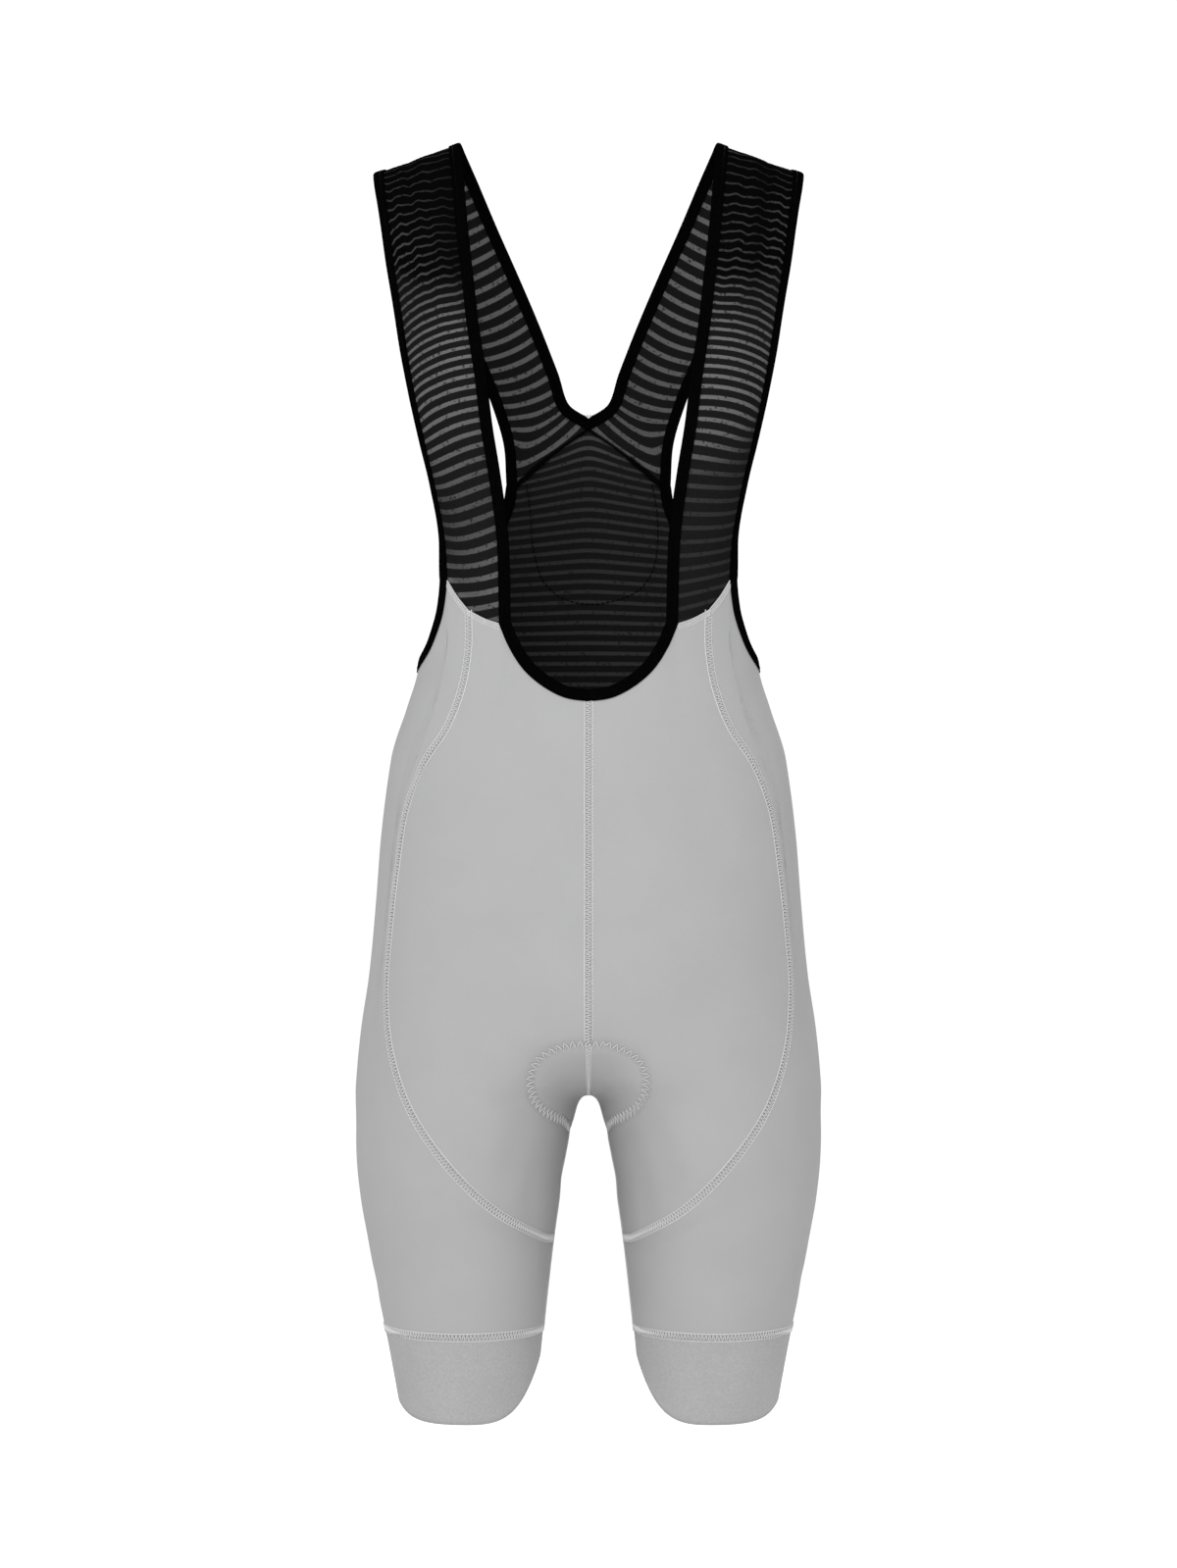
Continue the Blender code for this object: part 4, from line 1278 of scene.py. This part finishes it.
class BIB_OT_straps(bpy.types.Operator):
    """Hang the two striped straps from the bib seam over the shoulders to the V"""

    bl_idname = "bib.straps"
    bl_label = "Shoulder straps"

    def execute(self, context):
        def build(side, turn):
            pattern = strap_pattern(side)
            grid = strap_grid()
            outward = -grid_normals(grid)
            placed = grid + outward * strap_ripples(pattern)[..., None]
            chart = chart_of(grid)
            chart[..., 1] = pattern["count"]
            marks = {name: pattern[name] for name in ("painted_light", "sheer", "dark")}
            name = "mesh_strap_" + side
            mesh = cloth_mesh(name, turn(placed), turn(outward), chart, marks)
            piece = new_object(name, mesh, mesh_material())
            add_wall(piece, sizes().mesh_wall)
            settle(piece, "striped_mesh", "strap_" + side)
        both_sides(build)
        return {"FINISHED"}


class BIB_OT_back_mesh(bpy.types.Operator):
    """Stretch the striped back mesh between the V seam and the seat"""

    bl_idname = "bib.back_mesh"
    bl_label = "Back mesh"

    def execute(self, context):
        grid = back_mesh_grid()
        normals = form_normals(grid)
        x, height = grid[..., 0], grid[..., 2]
        stripe = table_at(BACK_STRIPES, BACK_STRIPE_COLUMNS, height, unscaled=("slope", "painted_light"))
        peak = np.hypot(x, BACK_PEAK_ROUNDING) - BACK_PEAK_ROUNDING
        level = height + stripe["slope"] * peak
        chart = chart_of(grid)
        chart[..., 1] = (level + BACK_COUNT_FROM) / BACK_STRIPE_SPACING
        marks = {
            "painted_light": stripe["painted_light"],
            "sheer": np.full_like(height, BACK_SHEER_SHARE),
            "dark": np.zeros_like(height),
        }
        mesh = cloth_mesh("back_mesh", grid, normals, chart, marks)
        piece = new_object("back_mesh", mesh, mesh_material())
        add_wall(piece, sizes().mesh_wall)
        settle(piece, "striped_mesh", "back_mesh_panel")
        return {"FINISHED"}


# ---------------------------------------------------------------- bindings

def tape_grid(edge, normals, keep_apart):
    """A tape folded over a closed cloth edge; keep_apart stops it at the centre plane."""
    ring = TAPE_SECTION + [(beyond, -depth) for beyond, depth in TAPE_SECTION[-2::-1]]
    away = edge_shift(edge, normals)
    straight = unit(away)
    columns = []
    for beyond, depth in ring:
        reach = away if beyond < 0.05 else straight
        place = edge + reach * beyond * sizes().binding_width
        if keep_apart:
            wrong = place[:, 0] * np.sign(edge[:, 0]) < 0
            place[:, 0] = np.where(wrong, 0.0, place[:, 0])
        columns.append(place + normals * depth * TAPE_HALF_DEPTH)
    grid = np.stack(columns, axis=1)
    return np.concatenate([grid, grid[:1]])


def neck_edge():
    """The cloth edge round the neck, one closed loop, and its normals."""
    strap, scoop = strap_grid(), seams()["scoop"]
    half = joined(scoop, strap[:, 0])
    half_normals = joined(form_normals(scoop), -grid_normals(strap)[:, 0])
    edge = np.concatenate([half, mirrored(half[-2:0:-1])])
    return edge, np.concatenate([half_normals, mirrored(half_normals[-2:0:-1])])


def armhole_edge():
    """The cloth edge round one armhole, one closed loop, and its normals."""
    strap, s = strap_grid(), seams()
    below = joined(s["mesh_side"], s["armhole"][::-1])
    edge = joined(strap[:, -1], below)[:-1]
    normals = joined(-grid_normals(strap)[:, -1], form_normals(below))[:-1]
    return edge[::-1], normals[::-1]


def tape_piece(name, edge, normals, turn, keep_apart=False):
    grid = tape_grid(edge, normals, keep_apart)
    repeated = np.concatenate([normals, normals[:1]])[:, None]
    facing = np.sign(np.linspace(1, -1, grid.shape[1]))[None, :, None] * repeated
    mesh = cloth_mesh(name, turn(grid), turn(facing), chart_of(grid), weld=True)
    piece = new_object(name, mesh, binding_material())
    add_wall(piece, sizes().binding_wall)
    return piece


class BIB_OT_bindings(bpy.types.Operator):
    """Fold black elastic tape over the neck edge and both armholes"""

    bl_idname = "bib.bindings"
    bl_label = "Bindings"

    def execute(self, context):
        edge, normals = neck_edge()
        neck = tape_piece("neck_tape", edge, normals, lambda p: p, keep_apart=True)
        settle(neck, "black_binding", "neck_binding")
        arm, arm_normals = armhole_edge()

        def build(side, turn):
            piece = tape_piece("armhole_tape_" + side, arm, arm_normals, turn)
            settle(piece, "black_binding", "armhole_binding_" + side)
        both_sides(build)
        return {"FINISHED"}


# ---------------------------------------------------------------- pad

def walk_on_form(start, way, distance, steps=8):
    """Points reached by walking over the form for a distance, straight ahead."""
    points = start
    for _ in range(steps):
        normals = form_normals(points)
        way = unit(way - (way * normals).sum(axis=-1, keepdims=True) * normals)
        points = onto_form(points + way * distance[..., None] / steps, 6)
    return points


@functools.lru_cache(maxsize=None)
def pad_grid():
    stations = np.array(PAD_STATIONS, float)
    at = np.linspace(stations[0, 0], stations[-1, 0], CELLS_PAD_ALONG + 1)
    half_width = hermite(stations[:, 0], stations[:, 1] * MM, at)
    spine = profile_points(at)
    columns = [spine]
    for part in np.linspace(0, 1, CELLS_PAD_ACROSS + 1)[1:]:
        way = np.broadcast_to([1.0, 0.0, 0.0], spine.shape)
        columns.append(walk_on_form(spine, way, half_width * part))
    half = np.stack(columns, axis=1)
    return np.concatenate([half[:, ::-1], mirrored(half[:, 1:])], axis=1)


@functools.lru_cache(maxsize=None)
def pad_ring():
    """The outline of the pad on the form, its first point repeated last."""
    grid = pad_grid()
    ring = np.concatenate([grid[:, 0], grid[-1, 1:], grid[-2::-1, -1], grid[0, -2:0:-1]])
    ring = np.concatenate([ring, ring[:1]])
    return divided(smooth_curve(divided(ring, 60), 600), 240)


class BIB_OT_pad(bpy.types.Operator):
    """Set the moulded pad inside the crotch, full in the middle and thin at its edge"""

    bl_idname = "bib.pad"
    bl_label = "Crotch pad"

    def execute(self, context):
        grid = pad_grid()
        normals = form_normals(grid)
        across = np.linspace(-1, 1, grid.shape[1])[None, :]
        along = np.linspace(-1, 1, grid.shape[0])[:, None]
        fullness = (1 - np.abs(across) ** 3) * (1 - np.abs(along) ** 4)
        channel = np.exp(-(across / 0.10) ** 2) * np.exp(-((along + 0.05) / 0.55) ** 4)
        groove = np.exp(-((np.abs(across) - 0.62) / 0.07) ** 2) * (1 - along ** 4)
        depth = PAD_EDGE + PAD_FULL * fullness
        depth = depth - PAD_CHANNEL_DEPTH * channel - PAD_GROOVE_DEPTH * groove
        outer = grid - normals * PAD_GAP
        inner = outer - normals * depth[..., None]
        mesh = cloth_mesh("pad_body", inner, -normals, chart_of(grid))
        shape = bmesh.new()
        shape.from_mesh(mesh)
        made = bmesh.ops.extrude_face_region(shape, geom=shape.faces[:], use_keep_orig=True)
        backs = [item for item in made["geom"] if isinstance(item, bmesh.types.BMVert)]
        for vertex, place in zip(backs, self.nearest(backs, inner, outer)):
            vertex.co = place
        bmesh.ops.recalc_face_normals(shape, faces=shape.faces)
        shape.to_mesh(mesh)
        shape.free()
        piece = new_object("crotch_pad_body", mesh, pad_material())
        settle(piece, "pad_foam", "crotch_pad")
        return {"FINISHED"}

    def nearest(self, vertices, inner, outer):
        """Where each copied point of the inner face goes on the outer one."""
        flat_in, flat_out = inner.reshape(-1, 3), outer.reshape(-1, 3)
        places = []
        for vertex in vertices:
            gap = np.abs(flat_in - np.array(vertex.co)).sum(axis=1)
            places.append(flat_out[int(np.argmin(gap))])
        return places


# ---------------------------------------------------------------- stitching

# Widths of the narrow flat seams, the bib seam's pitch, where the centre seam turns
# narrow, and how many points of the V seam's line are tacked at each end
NARROW_WIDTH = 3.2 * MM
INSEAM_WIDTH = 3.4 * MM
BIB_PITCH = 1.7 * MM
NARROW_SEAM_Z = -655 * MM
TACKED_POINTS = 20


def stations(curve, step, closed=False):
    """Evenly spaced points of a curve with their headings."""
    length = lengths_along(curve)[-1]
    count = max(int(round(length / step)), 4)
    points = placed_at(curve, np.linspace(0, length, count + 1))
    if closed:
        points = points[:-1]
        heading = np.roll(points, -1, axis=0) - np.roll(points, 1, axis=0)
        return points, unit(heading)
    return points, unit(np.gradient(points, axis=0))


def beside(points, heading, offset):
    """Points moved over the form square to their heading."""
    sideways = unit(np.cross(form_normals(points), heading))
    return points + sideways * np.asarray(offset)[..., None]


def zigzag(curve, width, pitch, shift=0.0, closed=False, lift=0.0):
    """A thread that crosses a seam from side to side."""
    points, heading = stations(curve, pitch / 4, closed)
    swing = np.array([0.0, 1.0, 0.0, -1.0])[np.arange(len(points)) % 4]
    height = sizes().knit_wall / 2 + sizes().thread_radius * 1.1 + lift
    return on_cloth(beside(points, heading, shift + swing * width / 2), height)


def rail(curve, offset, pitch, closed=False):
    """A row of needle thread along a seam, raised a little at each stitch."""
    points, heading = stations(curve, pitch / 3, closed)
    step = np.arange(len(points))
    weave = offset + 0.12 * MM * np.sin(2 * np.pi * step / 3)
    rise = 0.2 * MM * np.cos(2 * np.pi * step / 3)
    height = sizes().knit_wall / 2 - sizes().thread_radius * 0.15
    placed = on_cloth(beside(points, heading, weave), height)
    return placed + form_normals(placed) * rise[:, None]


def flatlock(curve, width=None, closed=False):
    """The threads of one flat seam: a zigzag cover between its outer needle rows."""
    width = width or sizes().flatlock_width
    pitch = sizes().flatlock_pitch
    half = width / 2
    return [
        zigzag(curve, width, pitch, closed=closed),
        rail(curve, -half, pitch, closed),
        rail(curve, half, pitch, closed),
    ]


def dashed(curve, stitch, gap):
    """A line cut into short stitches."""
    length = lengths_along(curve)[-1]
    starts = np.arange(0, length - stitch, stitch + gap)
    return [placed_at(curve, np.linspace(start, start + stitch, 4)) for start in starts]


def between_heights(curve, low, high):
    return curve[(curve[:, 2] >= low) & (curve[:, 2] <= high)]


class BIB_OT_seam_stitches(bpy.types.Operator):
    """Run the pale flatlock stitching along every seam of the grey knit"""

    bl_idname = "bib.seam_stitches"
    bl_label = "Seam stitching"

    def execute(self, context):
        s = seams()
        material = thread_material("pale_thread")
        radius = sizes().thread_radius

        def build(side, turn):
            front = [turn(path) for path in flatlock(s["front_seam"])]
            back = [turn(path) for path in flatlock(s["back_seam"])]
            leg = joined(s["inseam_upper"][6:], s["inseam_lower"])
            inner = [turn(path) for path in flatlock(leg, INSEAM_WIDTH)]
            for name, paths in (("front", front), ("back", back), ("inner", inner)):
                made = add_threads(f"{name}_seam_thread_{side}", paths, radius, material)
                settle(made, "grey_knit")
            ring = cuff_grid()[0]
            cuff = [turn(path) for path in flatlock(ring, closed=True)]
            made = add_threads(f"cuff_seam_thread_{side}", cuff, radius, material, closed=True)
            settle(made, "cuff_knit")
            edge = joined(s["bib_front"], s["bib_side"])
            cover = [turn(path) for path in (
                zigzag(edge, 3.6 * MM, BIB_PITCH, shift=-2.2 * MM),
                rail(edge, -4.0 * MM, BIB_PITCH), rail(edge, -0.5 * MM, BIB_PITCH))]
            made = add_threads(f"bib_seam_thread_{side}", cover, radius * 0.8, material)
            settle(made, "grey_knit")
        both_sides(build)
        centre = s["centre_front"]
        wide = between_heights(centre, NARROW_SEAM_Z, 0.0)
        narrow = between_heights(centre, -np.inf, NARROW_SEAM_Z)
        paths = flatlock(wide) + flatlock(narrow, NARROW_WIDTH)
        settle(add_threads("centre_front_thread", paths, radius, material), "grey_knit")
        paths = flatlock(s["centre_back"])
        settle(add_threads("centre_back_thread", paths, radius, material), "grey_knit")
        waist = joined(s["waist_seam"][::-1], mirrored(s["waist_seam"]))
        settle(add_threads("waist_seam_thread", flatlock(waist), radius, material), "grey_knit")
        return {"FINISHED"}


class BIB_OT_pad_stitches(bpy.types.Operator):
    """Zigzag the pad's outline through the knit"""

    bl_idname = "bib.pad_stitches"
    bl_label = "Pad stitching"

    def execute(self, context):
        path = zigzag(
            pad_ring(), PAD_STITCH_WIDTH, PAD_STITCH_PITCH, closed=True, lift=0.1 * MM)
        material = thread_material("pale_thread")
        made = add_threads("pad_outline_thread", [path], sizes().thread_radius, material, True)
        settle(made, "grey_knit")
        return {"FINISHED"}


class BIB_OT_dark_stitches(bpy.types.Operator):
    """Sew the V seam, the tack at its point, the back pocket line and the tape edges"""

    bl_idname = "bib.dark_stitches"
    bl_label = "Dark stitching"

    def execute(self, context):
        s = seams()
        material = thread_material("black_thread", True)
        radius = sizes().thread_radius
        v_line = joined(mirrored(s["v_seam"])[::-1], s["v_seam"])
        paths = flatlock(v_line, NARROW_WIDTH)
        band = zigzag(v_line, 2.4 * MM, 1.3 * MM, lift=0.1 * MM)
        ends = v_line[:TACKED_POINTS], v_line[-TACKED_POINTS:]
        tacks = [zigzag(end, 5.0 * MM, 1.0 * MM, lift=0.3 * MM) for end in ends]
        for path in [band] + tacks:
            paths.append(path - form_normals(path) * 1.9 * MM)
        settle(add_threads("v_seam_thread", paths, radius, material), "striped_mesh")
        flat = np.array([(x, 0.0, z) for x, z in POCKET_LINE]) * MM
        line = smooth_curve(flat, 400)
        line = onto_form(form_face(line[:, 0], line[:, 2], 1))
        line = line - form_normals(line) * (sizes().mesh_wall + radius)
        dashes = dashed(line, 2.6 * MM, 1.3 * MM)
        settle(add_threads("pocket_thread", dashes, radius, material), "striped_mesh")
        point = s["v_seam"][0]
        spread = np.linspace(-8.0, 8.0, 29)[:, None] * MM
        beat = np.where(np.arange(29) % 2 == 0, 1.0, -1.0)[:, None] * 2.0 * MM
        along = np.array([[1.0, 0.0, 0.0]]) * spread + np.array([[0.0, 0.0, 1.0]]) * beat
        tacks = []
        for depth in (-1.7, 1.7):
            tacks.append(point + along + np.array([[0.0, depth, 9.0]]) * MM)
        settle(add_threads("v_tack_thread", tacks, radius * 1.5, material), "black_binding")
        self.cover_rows("neck_cover_thread", *neck_edge(), lambda p: p, material)
        arm, arm_normals = armhole_edge()

        def build(side, turn):
            self.cover_rows("armhole_cover_thread_" + side, arm, arm_normals, turn, material)
        both_sides(build)
        return {"FINISHED"}

    def cover_rows(self, name, edge, normals, turn, material):
        """A row of stitches along the groove of a tape, on each of its faces."""
        away = edge_shift(edge, normals)
        rows = []
        for face in (1, -1):
            row = edge + away * TAPE_GROOVE * sizes().binding_width
            row = row + normals * face * (TAPE_HALF_DEPTH + sizes().binding_wall / 2)
            rows += dashed(turn(np.concatenate([row, row[:1]])), 2.4 * MM, 0.7 * MM)
        made = add_threads(name, rows, sizes().thread_radius * 0.7, material)
        settle(made, "black_binding")


# ---------------------------------------------------------------- stage

def aim(thing, target):
    way = Vector(target) - thing.location
    thing.rotation_euler = way.to_track_quat("-Z", "Y").to_euler()


class BIB_OT_stage(bpy.types.Operator):
    """Put the pale floor, the soft studio light and the camera round the shorts"""

    bl_idname = "bib.stage"
    bl_label = "Stage"

    def execute(self, context):
        scene = context.scene
        scene.view_settings.view_transform = "Standard"
        world = bpy.data.worlds.new("studio")
        world.use_nodes = True
        world.node_tree.nodes["Background"].inputs[0].default_value = (1.0, 1.0, 1.0, 1.0)
        world.node_tree.nodes["Background"].inputs[1].default_value = WORLD_STRENGTH
        scene.world = world
        floor_z = FRAME_BOX[0][2] - FLOOR_DROP
        shape = bmesh.new()
        bmesh.ops.create_grid(shape, x_segments=12, y_segments=12, size=FLOOR_HALF_SIZE)
        bmesh.ops.translate(shape, verts=shape.verts, vec=(0.0, 0.0, floor_z))
        mesh = bpy.data.meshes.new("floor")
        shape.to_mesh(mesh)
        shape.free()
        floor = new_object("floor", mesh, stage_material("pale_floor", FLOOR_COLOUR))
        for name, place, width, power in LAMPS:
            light = bpy.data.lights.new(name, "AREA")
            light.size = width
            light.energy = power
            lamp = bpy.data.objects.new(name, light)
            lamp.location = place
            aim(lamp, LAMP_TARGET)
            scene.collection.objects.link(lamp)
        view = bpy.data.cameras.new("camera")
        view.lens = CAMERA_LENS
        view.sensor_width = 36.0
        camera = bpy.data.objects.new("camera", view)
        camera.location = CAMERA_PLACE
        camera.rotation_euler = (np.pi / 2, 0.0, 0.0)
        scene.collection.objects.link(camera)
        scene.camera = camera
        return {"FINISHED"}


class BIB_PT_sidebar(bpy.types.Panel):
    """Lists the pieces and their sizes and colours"""

    bl_idname = "BIB_PT_sidebar"
    bl_label = "Bib Shorts"
    bl_space_type = "VIEW_3D"
    bl_region_type = "UI"
    bl_category = "Bib Shorts"

    def draw(self, context):
        for step in STEPS:
            self.layout.operator(step.bl_idname)
        for group in (context.scene.bib_sizes, context.scene.bib_colours):
            box = self.layout.box()
            for name in group.__annotations__:
                box.prop(group, name)


STEPS = (
    BIB_OT_front_panels, BIB_OT_side_panels, BIB_OT_seat_panels, BIB_OT_leg_cuffs,
    BIB_OT_straps, BIB_OT_back_mesh, BIB_OT_bindings, BIB_OT_pad,
    BIB_OT_seam_stitches, BIB_OT_pad_stitches, BIB_OT_dark_stitches, BIB_OT_stage,
)
CLASSES = (ClothSizes, ClothColours) + STEPS + (BIB_PT_sidebar,)


def register():
    for item in CLASSES:
        bpy.utils.register_class(item)
    bpy.types.Scene.bib_sizes = PointerProperty(type=ClothSizes)
    bpy.types.Scene.bib_colours = PointerProperty(type=ClothColours)


def unregister():
    del bpy.types.Scene.bib_colours
    del bpy.types.Scene.bib_sizes
    for item in reversed(CLASSES):
        bpy.utils.unregister_class(item)


def main():
    register()
    for step in STEPS:
        family, name = step.bl_idname.split(".")
        if getattr(getattr(bpy.ops, family), name)() != {"FINISHED"}:
            raise RuntimeError(step.bl_label + " could not be built")
    declare_cloth()


def declare_cloth():
    """Collects for each side the stitching on its front and seat sheets; the lists go unused."""
    held = bpy.data.objects
    for side in ("left", "right"):
        front = [held["front_seam_thread_" + side], held["bib_seam_thread_" + side]]
        seat = [held["back_seam_thread_" + side]]
        if side == "left":
            front += [held["centre_front_thread"], held["pad_outline_thread"]]
            seat += [held["centre_back_thread"], held["waist_seam_thread"]]


if __name__ == "__main__":
    main()
